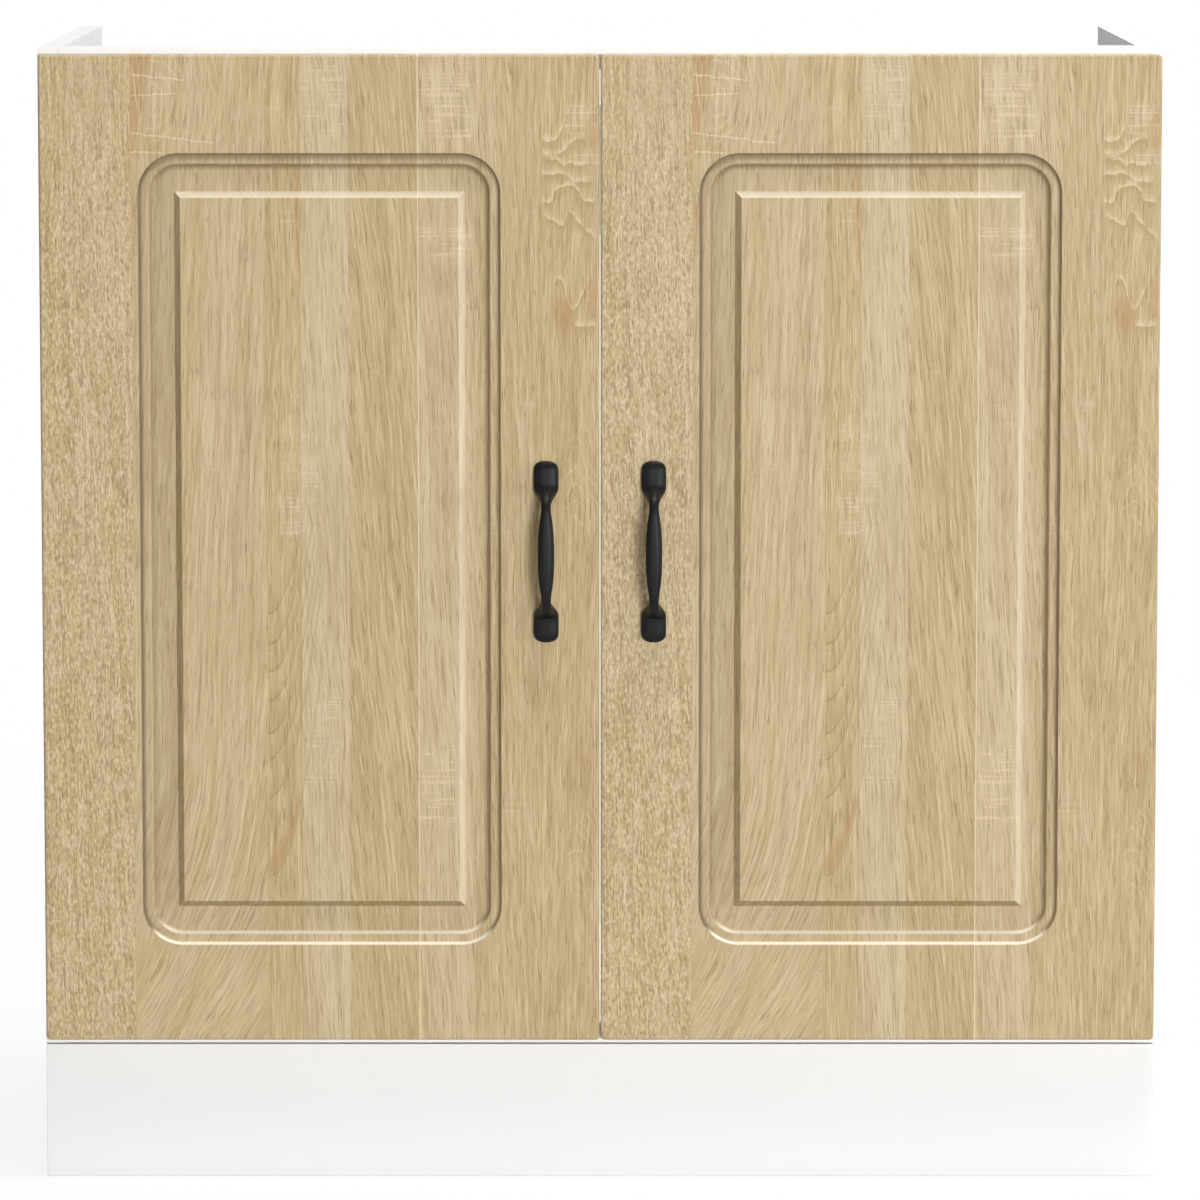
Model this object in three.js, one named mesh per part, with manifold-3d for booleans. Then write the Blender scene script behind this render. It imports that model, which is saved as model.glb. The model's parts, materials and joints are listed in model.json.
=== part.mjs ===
import * as THREE from 'three';
import { mergeVertices } from 'three/addons/utils/BufferGeometryUtils.js';
import Module from 'manifold-3d';

// A sink base cabinet: an open-backed carcass of white board, a plinth board, and two oak-foil doors,
// each hung on two concealed cup hinges. Millimetres, +Z up, -Y towards the person who opens it.
// The origin is on the floor, under the middle of the whole cabinet, handles included.

const wasm = await Module();
wasm.setup();

// ---------------------------------------------------------------- carcass
const cabinetWidth = 800;
const cabinetHeight = 815;
const carcassDepth = 442;
const sideThickness = 15;
const boardThickness = 15;
const fitGap = 0.3;              // clearance round every fastener
const pinPlay = 0.15;            // clearance round every turning pin
const plinthHeight = 97;
const plinthThickness = 15;
const plinthTopGap = 1;          // between the plinth board and the bottom panel
const frontRailDepth = 44;
const rearRailHeight = 100;
const rearRailDrop = 60;         // top of the rear rail below the top of the sides

// ---------------------------------------------------------------- doors
const doorThickness = 16;
const doorGap = 2;               // between the door's back and the carcass
const doorReveal = 1.5;          // door edge inside the cabinet's outer face
const doorCentreGap = 0.8;
const doorTopDrop = 4;           // door top below the carcass top
const doorFootRise = 5;          // door foot above the bottom panel's underside
const doorCornerRadius = 3;
const doorEdgeRound = 2.4;
const doorBackEase = 0.5;
const mouldSideMargin = 70;      // door edge to the outer edge of the routed frame
const mouldEndMargin = 69.4;
const mouldCornerRadius = 29;
const mouldProfile = [           // inset from that edge, depth below the door face
  [0, 0], [0.5, 0.35], [1.7, 2.5], [2.6, 2.9], [7.4, 2.8], [8, 3.2], [9.6, 5.3], [11, 5.8],
];
const panelSideInset = 25.4;     // foot of the raised panel, from that edge
const panelEndInset = 27.3;
const panelFootDepth = 5.8;
const panelBevel = 4.9;          // width of the slope up to the panel's top
const panelTopDepth = 0.4;
const panelCornerRadius = 1.2;

// ---------------------------------------------------------------- handles
const handleProjection = 27;
const handleSectionPoints = 10;
const handleHoleSpacing = 96;
const handleFromInnerEdge = 38;  // handle centre line to the door's inner edge
const handleScrewRadius = 2;
const handleScrewGrip = 5;       // screw length inside the handle foot
const handleScrewHeadRadius = 4;
const handleScrewHeadHeight = 2.4;
const handleStations = [         // distance from the middle, height of the section, width, thickness
  [64.5, 1.4, 9.6, 2.4], [63.7, 1.7, 13.6, 3.4], [61.6, 2.1, 16.4, 4.6], [58.5, 2.5, 17.5, 5.6],
  [47, 2.8, 17.6, 6.2], [43, 4.2, 16.8, 8], [40, 9.4, 12.8, 9.6], [37.6, 15.2, 9, 8.6],
  [35, 19.4, 7.8, 7.2], [31, 21.8, 8.2, 6.2], [23, 23.1, 10.2, 5.8], [12, 23.9, 11.6, 5.8],
  [0, 24.1, 11.9, 5.8],
];

// ---------------------------------------------------------------- hinges
// A hinge is drawn in its own plan: u runs from the door's outer edge towards its inner edge,
// v runs from the door's back into the cabinet.
const hingeFromDoorEnd = 90;
const cupCentreU = 21.5;
const cupRadius = 17.5;
const cupDepth = 12.5;
const cupWall = 1.3;
const cupFloor = 1;
const cupSteps = 24;
const flangeThickness = 1.2;
const flangeLength = 62;
const flangeWidth = 19;
const flangeRimRadius = 20;
const cupScrewOffsetU = 6;
const cupScrewSpacing = 48;
const cupScrewRadius = 1.8;
const cupScrewLength = 11;
const cupScrewHeadRadius = 3.6;
const cupScrewHeadHeight = 1.8;
const carrierArmPin = [29.5, -2];    // carrying link, pin in the arm
const carrierCupPin = [9.3, -6.8];   // carrying link, pin in the cup
const guideArmPin = [34, 4.5];        // guiding link, pin in the arm
const guideCupPin = [9.6, -2.3];     // guiding link, pin in the cup
const hingePinRadius = 1.2;
const linkThickness = 4.5;           // each link's size along the hinge axis
const linkSpacing = 0.7;             // each link's distance from the hinge's middle plane
const linkHalfWidth = 1.8;
const linkBowSteps = 6;
const carrierBossRadius = 2.8;
const carrierBow = 3.4;              // how far the carrying link bows round the cup's rim
const guideBossRadius = 2.8;
const guideBow = 1.6;
const guideSlotInward = 1.9;         // travel of the cup pin in the guiding link's slotted eye
const guideSlotOutward = 0.5;
const guideSlotSide = 0.55;
const armCheekThickness = 1.4;
const armWebThickness = 1.4;
const armTopU = 25.8;
const armFootU = 18;
const armBackV = 68;
const armBendV = 24;
const armFrontV = 14;
const armPinBossRadius = 2.9;
const plateScrewV = 39;              // 37 mm behind the carcass front edge
const plateScrewSpacing = 32;
const plateScrewRadius = 2.5;
const plateScrewLength = 11;
const plateScrewHeadRadius = 4;
const plateScrewHeadHeight = 1.6;
const plateThickness = 2;
const plateWingWidth = 13;
const plateWingLength = 46;
const plateRidgeFrontV = 26;
const plateRidgeBackV = 64;
const clampScrewV = 56;              // holds the arm on the plate
const clampScrewRadius = 2.5;
const clampScrewHeadRadius = 4.2;
const clampScrewHeadHeight = 2.2;
const setScrewV = 32;                // moves the door sideways
const setScrewRadius = 3;

// ---------------------------------------------------------------- small parts
const confirmatRadius = 3.5;
const confirmatHeadRadius = 5;
const confirmatHeadHeight = 4;
const confirmatLength = 50;
const confirmatInset = 60;           // outermost screws from a board's ends
const bumperRadius = 3;
const bumperInset = 18;              // from the door's inner edge
const bumperTopDrop = 5.5;           // from the door's top edge
const bumperFootRise = 5.5;          // from the door's bottom edge
const bracketWidth = 30;
const bracketLeg = 28;
const bracketThickness = 2.5;
const bracketFromSide = 60;

// ---------------------------------------------------------------- derived places
const halfWidth = cabinetWidth / 2;
const overallDepth = carcassDepth + doorGap + doorThickness + handleProjection;
const backY = overallDepth / 2;
const carcassFrontY = backY - carcassDepth;
const doorBackY = carcassFrontY - doorGap;
const doorFrontY = doorBackY - doorThickness;
const innerHalfWidth = halfWidth - sideThickness;
const bottomZ = plinthHeight + plinthTopGap;
const bottomTopZ = bottomZ + boardThickness;
const doorTopZ = cabinetHeight - doorTopDrop;
const doorFootZ = bottomZ + doorFootRise;
const doorHeight = doorTopZ - doorFootZ;
const doorMiddleZ = (doorTopZ + doorFootZ) / 2;
const doorWidth = halfWidth - doorReveal - doorCentreGap / 2;
const mouldWidth = doorWidth - 2 * mouldSideMargin;
const mouldHeight = doorHeight - 2 * mouldEndMargin;
const rearRailTopZ = cabinetHeight - rearRailDrop;
const bumperHeight = doorGap - fitGap;
const hingeHeights = { lower: doorFootZ + hingeFromDoorEnd, upper: doorTopZ - hingeFromDoorEnd };
const sides = { left: -1, right: 1 };

// ---------------------------------------------------------------- materials
const whiteBoard = () => new THREE.MeshStandardMaterial({ color: 0xeeeeec, roughness: 0.5, metalness: 0 });
const oakFoil = () => new THREE.MeshStandardMaterial({ color: 0xc3ac82, roughness: 0.55, metalness: 0 });
const blackMetal = () => new THREE.MeshStandardMaterial({
  color: 0x141619, roughness: 0.45, metalness: 0.3,
});
const nickel = () => new THREE.MeshStandardMaterial({ color: 0xb9bab8, roughness: 0.3, metalness: 1 });
const zinc = () => new THREE.MeshStandardMaterial({ color: 0xa9abab, roughness: 0.4, metalness: 1 });
const clearRubber = () => new THREE.MeshStandardMaterial({ color: 0xd8dad8, roughness: 0.6, metalness: 0 });

// ---------------------------------------------------------------- solids
function solidOf(geometry) {
  const bare = geometry.clone();
  bare.deleteAttribute('normal');
  bare.deleteAttribute('uv');
  const merged = mergeVertices(bare, 1e-4);
  return new wasm.Manifold(new wasm.Mesh({
    numProp: 3,
    vertProperties: new Float32Array(merged.attributes.position.array),
    triVerts: new Uint32Array(merged.index.array),
  }));
}

function geometryOf(solid) {
  const mesh = solid.getMesh();
  const geometry = new THREE.BufferGeometry();
  geometry.setAttribute('position', new THREE.BufferAttribute(new Float32Array(mesh.vertProperties), 3));
  geometry.setIndex(new THREE.BufferAttribute(new Uint32Array(mesh.triVerts), 1));
  geometry.computeVertexNormals();
  return geometry;
}

function block(x0, x1, y0, y1, z0, z1) {
  const geometry = new THREE.BoxGeometry(Math.abs(x1 - x0), Math.abs(y1 - y0), Math.abs(z1 - z0));
  geometry.translate((x0 + x1) / 2, (y0 + y1) / 2, (z0 + z1) / 2);
  return solidOf(geometry);
}

// A round rod along x, y or z, from start to end on that axis, centred at (a, b) on the other two.
function rod(axis, radius, start, end, a, b, steps = 16) {
  const geometry = new THREE.CylinderGeometry(radius, radius, Math.abs(end - start), steps);
  const middle = (start + end) / 2;
  if (axis === 'x') geometry.rotateZ(Math.PI / 2).translate(middle, a, b);
  if (axis === 'y') geometry.translate(a, middle, b);
  if (axis === 'z') geometry.rotateX(Math.PI / 2).translate(a, b, middle);
  return solidOf(geometry);
}

// A flat outline in x and y, given a thickness from z0 to z1.
function slab(shape, z0, z1, curveSteps = 6) {
  const geometry = new THREE.ExtrudeGeometry(shape, {
    depth: z1 - z0, bevelEnabled: false, curveSegments: curveSteps,
  });
  return solidOf(geometry.translate(0, 0, z0));
}

// The same with the outline in x and z, and the thickness from y0 to y1.
function facingSlab(shape, y0, y1, curveSteps = 6) {
  const geometry = new THREE.ExtrudeGeometry(shape, {
    depth: y1 - y0, bevelEnabled: false, curveSegments: curveSteps,
  });
  return solidOf(geometry.rotateX(Math.PI / 2).translate(0, y1, 0));
}

// The same with the outline in y and z, and the thickness from x0 to x1.
function sidewaysSlab(shape, x0, x1, curveSteps = 6) {
  const geometry = new THREE.ExtrudeGeometry(shape, {
    depth: x1 - x0, bevelEnabled: false, curveSegments: curveSteps,
  });
  geometry.rotateY(Math.PI / 2).rotateX(Math.PI / 2);
  return solidOf(geometry.translate(x0, 0, 0));
}

function roundedRectangle(width, height, radius, cx = 0, cy = 0) {
  const shape = new THREE.Shape();
  const w = width / 2;
  const h = height / 2;
  shape.moveTo(cx - w + radius, cy - h);
  shape.lineTo(cx + w - radius, cy - h);
  shape.absarc(cx + w - radius, cy - h + radius, radius, -Math.PI / 2, 0, false);
  shape.absarc(cx + w - radius, cy + h - radius, radius, 0, Math.PI / 2, false);
  shape.absarc(cx - w + radius, cy + h - radius, radius, Math.PI / 2, Math.PI, false);
  shape.absarc(cx - w + radius, cy - h + radius, radius, Math.PI, Math.PI * 1.5, false);
  return shape;
}

// A closed body through a row of rings with equal numbers of points, capped at both ends.
function loft(rings) {
  const count = rings[0].length;
  const points = rings.flat();
  const index = [];
  for (let r = 0; r + 1 < rings.length; r += 1) {
    for (let i = 0; i < count; i += 1) {
      const a = r * count + i;
      const b = r * count + (i + 1) % count;
      index.push(a, b, b + count, a, b + count, a + count);
    }
  }
  for (const [ring, flip] of [[0, true], [rings.length - 1, false]]) {
    const centre = new THREE.Vector3();
    rings[ring].forEach((point) => centre.addScaledVector(point, 1 / count));
    points.push(centre);
    for (let i = 0; i < count; i += 1) {
      const a = ring * count + i;
      const b = ring * count + (i + 1) % count;
      if (flip) index.push(points.length - 1, b, a);
      else index.push(points.length - 1, a, b);
    }
  }
  const geometry = new THREE.BufferGeometry().setFromPoints(points);
  geometry.setIndex(index);
  return solidOf(geometry);
}

function pieceOf(name, solid, material, z = 0) {
  const mesh = new THREE.Mesh(geometryOf(solid), material);
  mesh.name = name;
  mesh.position.z = z;
  return mesh;
}

// ---------------------------------------------------------------- carcass boards
// Where a confirmat screw goes through a side: its height and its distance behind the front.
function confirmatPlaces() {
  const bottomMiddle = bottomZ + boardThickness / 2;
  const railMiddle = cabinetHeight - boardThickness / 2;
  const rearMiddle = backY - boardThickness / 2;
  return [
    { board: 'bottom_panel', spot: 'front', y: carcassFrontY + confirmatInset, z: bottomMiddle },
    { board: 'bottom_panel', spot: 'rear', y: backY - confirmatInset, z: bottomMiddle },
    { board: 'front_rail', spot: 'middle', y: carcassFrontY + frontRailDepth / 2, z: railMiddle },
    { board: 'rear_rail', spot: 'lower', y: rearMiddle, z: rearRailTopZ - rearRailHeight * 0.75 },
    { board: 'rear_rail', spot: 'upper', y: rearMiddle, z: rearRailTopZ - rearRailHeight * 0.25 },
  ];
}

function confirmatHole(side, place, radius, headRadius) {
  const outer = side * halfWidth;
  const tip = side * (halfWidth - confirmatLength - 2 * fitGap);
  const hole = rod('x', radius, outer + side, tip, place.y, place.z, 8);
  const seat = side * (halfWidth - confirmatHeadHeight - 2 * fitGap);
  return hole.add(rod('x', headRadius, outer + side, seat, place.y, place.z, 12));
}

function drilled(solid, board) {
  let result = solid;
  for (const side of Object.values(sides)) {
    for (const place of confirmatPlaces()) {
      if (board !== 'side' && place.board !== board) continue;
      const hole = confirmatHole(side, place, confirmatRadius + fitGap, confirmatHeadRadius + fitGap);
      result = result.subtract(hole);
    }
  }
  return result;
}

function sidePanel(side) {
  const inner = side * innerHalfWidth;
  const outer = side * halfWidth;
  let solid = block(inner, outer, carcassFrontY, backY, 0, cabinetHeight);
  const notchBack = carcassFrontY + plinthThickness + fitGap;
  solid = solid.subtract(block(inner - side, outer + side, carcassFrontY - 1, notchBack, -1, bottomZ));
  for (const z of Object.values(hingeHeights)) {
    for (const end of [-1, 1]) {
      const tip = side * (innerHalfWidth + plateScrewLength + fitGap);
      const screwZ = z + end * plateScrewSpacing / 2;
      const radius = plateScrewRadius + fitGap;
      solid = solid.subtract(rod('x', radius, inner - side, tip, doorBackY + plateScrewV, screwZ, 8));
    }
  }
  return drilled(solid, 'side');
}

function bottomPanel() {
  const board = block(-innerHalfWidth, innerHalfWidth, carcassFrontY, backY, bottomZ, bottomTopZ);
  return drilled(board, 'bottom_panel');
}

function frontRail() {
  const rearEdge = carcassFrontY + frontRailDepth;
  const foot = cabinetHeight - boardThickness;
  const board = block(-innerHalfWidth, innerHalfWidth, carcassFrontY, rearEdge, foot, cabinetHeight);
  return drilled(board, 'front_rail');
}

function rearRail() {
  const foot = rearRailTopZ - rearRailHeight;
  const board = block(-innerHalfWidth, innerHalfWidth, backY - boardThickness, backY, foot, rearRailTopZ);
  return drilled(board, 'rear_rail');
}

function plinthBoard() {
  return block(-halfWidth, halfWidth, carcassFrontY, carcassFrontY + plinthThickness, 0, plinthHeight);
}

// A steel angle that ties the plinth board to the underside of the bottom panel.
function plinthBracket(side) {
  const x = side * (innerHalfWidth - bracketFromSide);
  const y = carcassFrontY + plinthThickness;
  const z = bottomZ;
  const outline = new THREE.Shape();
  outline.moveTo(y, z);
  outline.lineTo(y, z - bracketLeg);
  outline.lineTo(y + bracketThickness, z - bracketLeg);
  outline.lineTo(y + bracketThickness, z - bracketThickness);
  outline.lineTo(y + bracketLeg, z - bracketThickness);
  outline.lineTo(y + bracketLeg, z);
  outline.closePath();
  return sidewaysSlab(outline, x - bracketWidth / 2, x + bracketWidth / 2);
}

function confirmatScrew(side, place) {
  const outer = side * (halfWidth - fitGap);
  const seat = side * (halfWidth - fitGap - confirmatHeadHeight);
  const tip = side * (halfWidth - fitGap - confirmatLength);
  const head = rod('x', confirmatHeadRadius, outer, seat, place.y, place.z, 12);
  const shank = rod('x', confirmatRadius, outer, tip, place.y, place.z, 8);
  const socket = rod('x', 2.2, outer + side, outer - side * 2.4, place.y, place.z, 6);
  return head.add(shank).subtract(socket);
}

// ---------------------------------------------------------------- doors
// A rounded rectangle as a ring of points in x and z, at depth y.
function doorRing(centreX, width, height, radius, y, cornerSteps = 4) {
  const ring = [];
  const corners = [[1, -1, -90], [1, 1, 0], [-1, 1, 90], [-1, -1, 180]];
  for (const [sx, sz, start] of corners) {
    for (let i = 0; i <= cornerSteps; i += 1) {
      const angle = THREE.MathUtils.degToRad(start + (90 * i) / cornerSteps);
      const x = centreX + sx * (width / 2 - radius) + radius * Math.cos(angle);
      const z = doorMiddleZ + sz * (height / 2 - radius) + radius * Math.sin(angle);
      ring.push(new THREE.Vector3(x, y, z));
    }
  }
  return ring;
}

function doorCentreX(side) {
  return side * (doorCentreGap / 2 + doorWidth / 2);
}

function handleX(side) {
  return side * (doorCentreGap / 2 + handleFromInnerEdge);
}

function doorBlank(side) {
  const x = doorCentreX(side);
  const at = (inset, radius, y) => doorRing(x, doorWidth - 2 * inset, doorHeight - 2 * inset, radius, y);
  const rings = [at(doorBackEase, doorCornerRadius - doorBackEase, doorBackY)];
  rings.push(at(0, doorCornerRadius, doorBackY - doorBackEase));
  const roundSteps = 3;
  for (let i = 0; i <= roundSteps; i += 1) {
    const angle = (Math.PI / 2) * (i / roundSteps);
    const inset = doorEdgeRound * (1 - Math.cos(angle));
    const y = doorFrontY + doorEdgeRound * (1 - Math.sin(angle));
    rings.push(at(inset, doorCornerRadius - inset, y));
  }
  const mould = (sideInset, endInset, radius, depth) => doorRing(
    x, mouldWidth - 2 * sideInset, mouldHeight - 2 * endInset, radius, doorFrontY + depth,
  );
  for (const [inset, depth] of mouldProfile) {
    rings.push(mould(inset, inset, mouldCornerRadius - inset, depth));
  }
  const panel = (bevel, depth) => mould(
    panelSideInset + bevel, panelEndInset + bevel, panelCornerRadius, depth,
  );
  rings.push(panel(0, panelFootDepth), panel(panelBevel, panelTopDepth));
  return loft(rings);
}

function door(side) {
  let solid = doorBlank(side);
  for (const z of Object.values(hingeHeights)) {
    const x = hingeX(side, cupCentreU);
    const floor = doorBackY - cupDepth - fitGap;
    solid = solid.subtract(rod('y', cupRadius + fitGap, doorBackY + 1, floor, x, z, cupSteps));
    for (const end of [-1, 1]) {
      const screwX = hingeX(side, cupCentreU + cupScrewOffsetU);
      const screwZ = z + end * cupScrewSpacing / 2;
      const tip = doorBackY - cupScrewLength - fitGap;
      solid = solid.subtract(rod('y', cupScrewRadius + fitGap, doorBackY + 1, tip, screwX, screwZ, 8));
    }
  }
  for (const end of [-1, 1]) {
    const z = doorMiddleZ + end * handleHoleSpacing / 2;
    const radius = handleScrewRadius + fitGap;
    solid = solid.subtract(rod('y', radius, doorFrontY - 1, doorBackY + 1, handleX(side), z, 8));
  }
  return solid;
}

// ---------------------------------------------------------------- handles
function handle(side) {
  const x = handleX(side);
  const stations = [];
  for (const [along, ...section] of handleStations) stations.push([-along, ...section]);
  const upperHalf = handleStations.slice(0, -1).reverse();
  for (const station of upperHalf) stations.push(station);
  const point = ([along, rise]) => new THREE.Vector2(along, rise);
  const around = handleSectionPoints;
  const rings = stations.map((station, i) => {
    const isEnd = i === 0 || i === stations.length - 1;
    const before = point(stations[Math.max(i - 1, 0)]);
    const after = point(stations[Math.min(i + 1, stations.length - 1)]);
    const along = isEnd ? new THREE.Vector2(1, 0) : after.sub(before).normalize();
    const middle = point(station);
    const [, , width, thickness] = station;
    const ring = [];
    for (let k = 0; k < around; k += 1) {
      const angle = (-2 * Math.PI * k) / around;
      const squared = (value) => Math.sign(value) * Math.abs(value) ** 0.7;
      const across = squared(Math.cos(angle)) * width / 2;
      const out = squared(Math.sin(angle)) * thickness / 2;
      const z = doorMiddleZ + middle.x - along.y * out;
      const y = doorFrontY - middle.y - along.x * out;
      ring.push(new THREE.Vector3(x + across, y, z));
    }
    return ring;
  });
  let solid = loft(rings);
  const [reach] = handleStations[0];
  const heights = [doorMiddleZ - reach - 1, doorMiddleZ + reach + 1];
  const behind = block(x - reach, x + reach, doorFrontY, doorFrontY + reach, ...heights);
  solid = solid.subtract(behind);
  for (const end of [-1, 1]) {
    const z = doorMiddleZ + end * handleHoleSpacing / 2;
    const bottom = doorFrontY - handleScrewGrip - fitGap;
    solid = solid.subtract(rod('y', handleScrewRadius + fitGap, bottom, doorFrontY + 1, x, z, 8));
  }
  return solid;
}

function handleScrew(side, end) {
  const x = handleX(side);
  const z = doorMiddleZ + end * handleHoleSpacing / 2;
  const tip = doorFrontY - handleScrewGrip;
  const shank = rod('y', handleScrewRadius, tip, doorBackY + 1, x, z, 8);
  const head = rod('y', handleScrewHeadRadius, doorBackY, doorBackY + handleScrewHeadHeight, x, z, 12);
  const slot = block(x - 3, x + 3, doorBackY + 1.4, doorBackY + 3, z - 0.5, z + 0.5);
  return shank.add(head).subtract(slot);
}

function bumper(side, z) {
  const x = side * (doorCentreGap / 2 + bumperInset);
  const foot = rod('y', bumperRadius, doorBackY, doorBackY + bumperHeight * 0.6, x, z, 12);
  const crown = rod('y', bumperRadius * 0.75, doorBackY, doorBackY + bumperHeight, x, z, 12);
  return foot.add(crown);
}

// ---------------------------------------------------------------- hinges
function hingeX(side, u) {
  return side * (halfWidth - doorReveal - u);
}

// A cross recess in a screw head, cut from its top downwards along x or y.
function crossRecess(axis, top, bottom, a, b, reach) {
  const half = reach / 5;
  if (axis === 'y') {
    const upright = block(a - half, a + half, bottom, top, b - reach, b + reach);
    return upright.add(block(a - reach, a + reach, bottom, top, b - half, b + half));
  }
  const upright = block(bottom, top, a - half, a + half, b - reach, b + reach);
  return upright.add(block(bottom, top, a - reach, a + reach, b - half, b + half));
}

function hingePlan(side, [u, v]) {
  return new THREE.Vector2(hingeX(side, u), doorBackY + v);
}

function hingeCup(side) {
  const x = hingeX(side, cupCentreU);
  const flangeX = hingeX(side, cupCentreU + cupScrewOffsetU);
  const top = doorBackY + flangeThickness;
  const innerRadius = cupRadius - cupWall;
  const wings = roundedRectangle(flangeWidth, flangeLength, 6, flangeX, 0);
  let solid = rod('y', cupRadius, doorBackY - cupDepth, top, x, 0, cupSteps);
  solid = solid.add(facingSlab(wings, doorBackY, top, 3));
  solid = solid.add(rod('y', flangeRimRadius, doorBackY, top, x, 0, cupSteps));
  solid = solid.subtract(rod('y', innerRadius, doorBackY - cupDepth + cupFloor, top + 1, x, 0, cupSteps));
  const windowZ = linkSpacing + linkThickness + 2 * fitGap;
  const windowX = [hingeX(side, cupCentreU - flangeRimRadius - 1), hingeX(side, cupCentreU - innerRadius / 2)];
  const windowFloor = doorBackY - cupDepth + cupFloor + 2;
  solid = solid.subtract(block(...windowX, windowFloor, top + 1, -windowZ, windowZ));
  for (const end of [-1, 1]) {
    const z = end * cupScrewSpacing / 2;
    solid = solid.subtract(rod('y', cupScrewRadius + fitGap, doorBackY - 1, top + 1, flangeX, z, 8));
  }
  const outside = rod('y', cupRadius - 0.1, doorBackY - cupDepth, doorBackY, x, 0, cupSteps);
  const pins = [[carrierCupPin, 1], [guideCupPin, -1]];
  for (const [pin, up] of pins) {
    const place = hingePlan(side, pin);
    const length = rod('z', hingePinRadius, up * fitGap, up * cupRadius, place.x, place.y, 12);
    solid = solid.add(length.intersect(outside));
  }
  return solid;
}

// Both cheeks of the arm, as one outline in plan: a straight back over the mounting plate and a
// nose that carries the two pins.
function armOutline(side) {
  const shape = new THREE.Shape();
  const [au, av] = carrierArmPin;
  const [bu, bv] = guideArmPin;
  const slope = Math.atan2(bv - av, bu - au);
  const away = slope - Math.PI / 2;
  const radius = armPinBossRadius;
  const points = [[armFootU, armBackV], [armTopU, armBackV], [armTopU, armBendV]];
  for (let i = 0; i <= 4; i += 1) {
    const angle = THREE.MathUtils.lerp(Math.PI * 0.42, away, i / 4);
    points.push([bu + radius * Math.cos(angle), bv + radius * Math.sin(angle)]);
  }
  for (let i = 0; i <= 4; i += 1) {
    const angle = THREE.MathUtils.lerp(away, -Math.PI * 0.95, i / 4);
    points.push([au + radius * Math.cos(angle), av + radius * Math.sin(angle)]);
  }
  points.push([armFootU + 3.5, armFrontV], [armFootU, armBendV]);
  points.forEach((point, i) => {
    const place = hingePlan(side, point);
    if (i === 0) shape.moveTo(place.x, place.y);
    else shape.lineTo(place.x, place.y);
  });
  shape.closePath();
  return shape;
}

function hingeArm(side) {
  const inside = linkSpacing + linkThickness + fitGap;
  const outside = inside + armCheekThickness;
  const outline = armOutline(side);
  const webFront = doorBackY + armBendV;
  const webBack = doorBackY + armBackV;
  const web = [hingeX(side, armTopU - armWebThickness), hingeX(side, armTopU)];
  let solid = slab(outline, inside, outside).add(slab(outline, -outside, -inside));
  solid = solid.add(block(...web, webFront, webBack, -outside, outside));
  for (const [pin, up] of [[carrierArmPin, 1], [guideArmPin, -1]]) {
    const place = hingePlan(side, pin);
    const start = up * fitGap;
    const end = up * (inside + armCheekThickness / 2);
    solid = solid.add(rod('z', hingePinRadius, start, end, place.x, place.y, 12));
  }
  const slotHalf = clampScrewRadius + fitGap;
  const slotX = [hingeX(side, armTopU - armWebThickness - 1), hingeX(side, armTopU + 1)];
  const slotFront = doorBackY + clampScrewV;
  solid = solid.subtract(block(...slotX, slotFront, webBack + 1, -slotHalf, slotHalf));
  solid = solid.subtract(rod('x', slotHalf, ...slotX, slotFront, 0, 10));
  const setScrewX = [hingeX(side, armTopU - armWebThickness), hingeX(side, armTopU + 0.6)];
  const setScrewY = doorBackY + setScrewV;
  solid = solid.add(rod('x', setScrewRadius, ...setScrewX, setScrewY, 0, 12));
  const recess = [hingeX(side, armTopU + 1), hingeX(side, armTopU - 0.6)];
  return solid.subtract(crossRecess('x', Math.max(...recess), Math.min(...recess), setScrewY, 0, 2));
}

function hingePlate(side) {
  const base = doorBackY + plateScrewV;
  const wallU = sideThickness - doorReveal;
  const ridgeHalf = linkSpacing + linkThickness;
  const ridgeTop = armTopU - armWebThickness - fitGap;
  const wings = new THREE.Shape();
  const w = plateWingWidth / 2;
  const l = plateWingLength / 2;
  wings.moveTo(base - w, -l + 3);
  wings.lineTo(base - w + 3, -l);
  wings.lineTo(base + w - 3, -l);
  wings.lineTo(base + w, -l + 3);
  wings.lineTo(base + w, l - 3);
  wings.lineTo(base + w - 3, l);
  wings.lineTo(base - w + 3, l);
  wings.lineTo(base - w, l - 3);
  wings.closePath();
  const faces = [hingeX(side, wallU), hingeX(side, wallU + plateThickness)];
  let solid = sidewaysSlab(wings, Math.min(...faces), Math.max(...faces));
  const ridge = [hingeX(side, wallU), hingeX(side, ridgeTop)];
  const front = doorBackY + plateRidgeFrontV;
  const back = doorBackY + plateRidgeBackV;
  solid = solid.add(block(...ridge, front, back, -ridgeHalf, ridgeHalf));
  const clampY = doorBackY + clampScrewV;
  const clampHead = [hingeX(side, armTopU + fitGap), hingeX(side, armTopU + fitGap + clampScrewHeadHeight)];
  solid = solid.add(rod('x', clampScrewRadius, hingeX(side, ridgeTop), clampHead[1], clampY, 0, 10));
  solid = solid.add(rod('x', clampScrewHeadRadius, ...clampHead, clampY, 0, 12));
  const recess = [clampHead[1] - side, clampHead[1] + side * 1.2];
  solid = solid.subtract(crossRecess('x', Math.max(...recess), Math.min(...recess), clampY, 0, 2.4));
  for (const end of [-1, 1]) {
    const z = end * plateScrewSpacing / 2;
    const tip = hingeX(side, wallU - plateScrewLength);
    const headEnd = hingeX(side, wallU + plateThickness + plateScrewHeadHeight);
    solid = solid.add(rod('x', plateScrewRadius, tip, headEnd, base, z, 8));
    solid = solid.add(rod('x', plateScrewHeadRadius, faces[1], headEnd, base, z, 12));
  }
  return solid;
}

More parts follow.
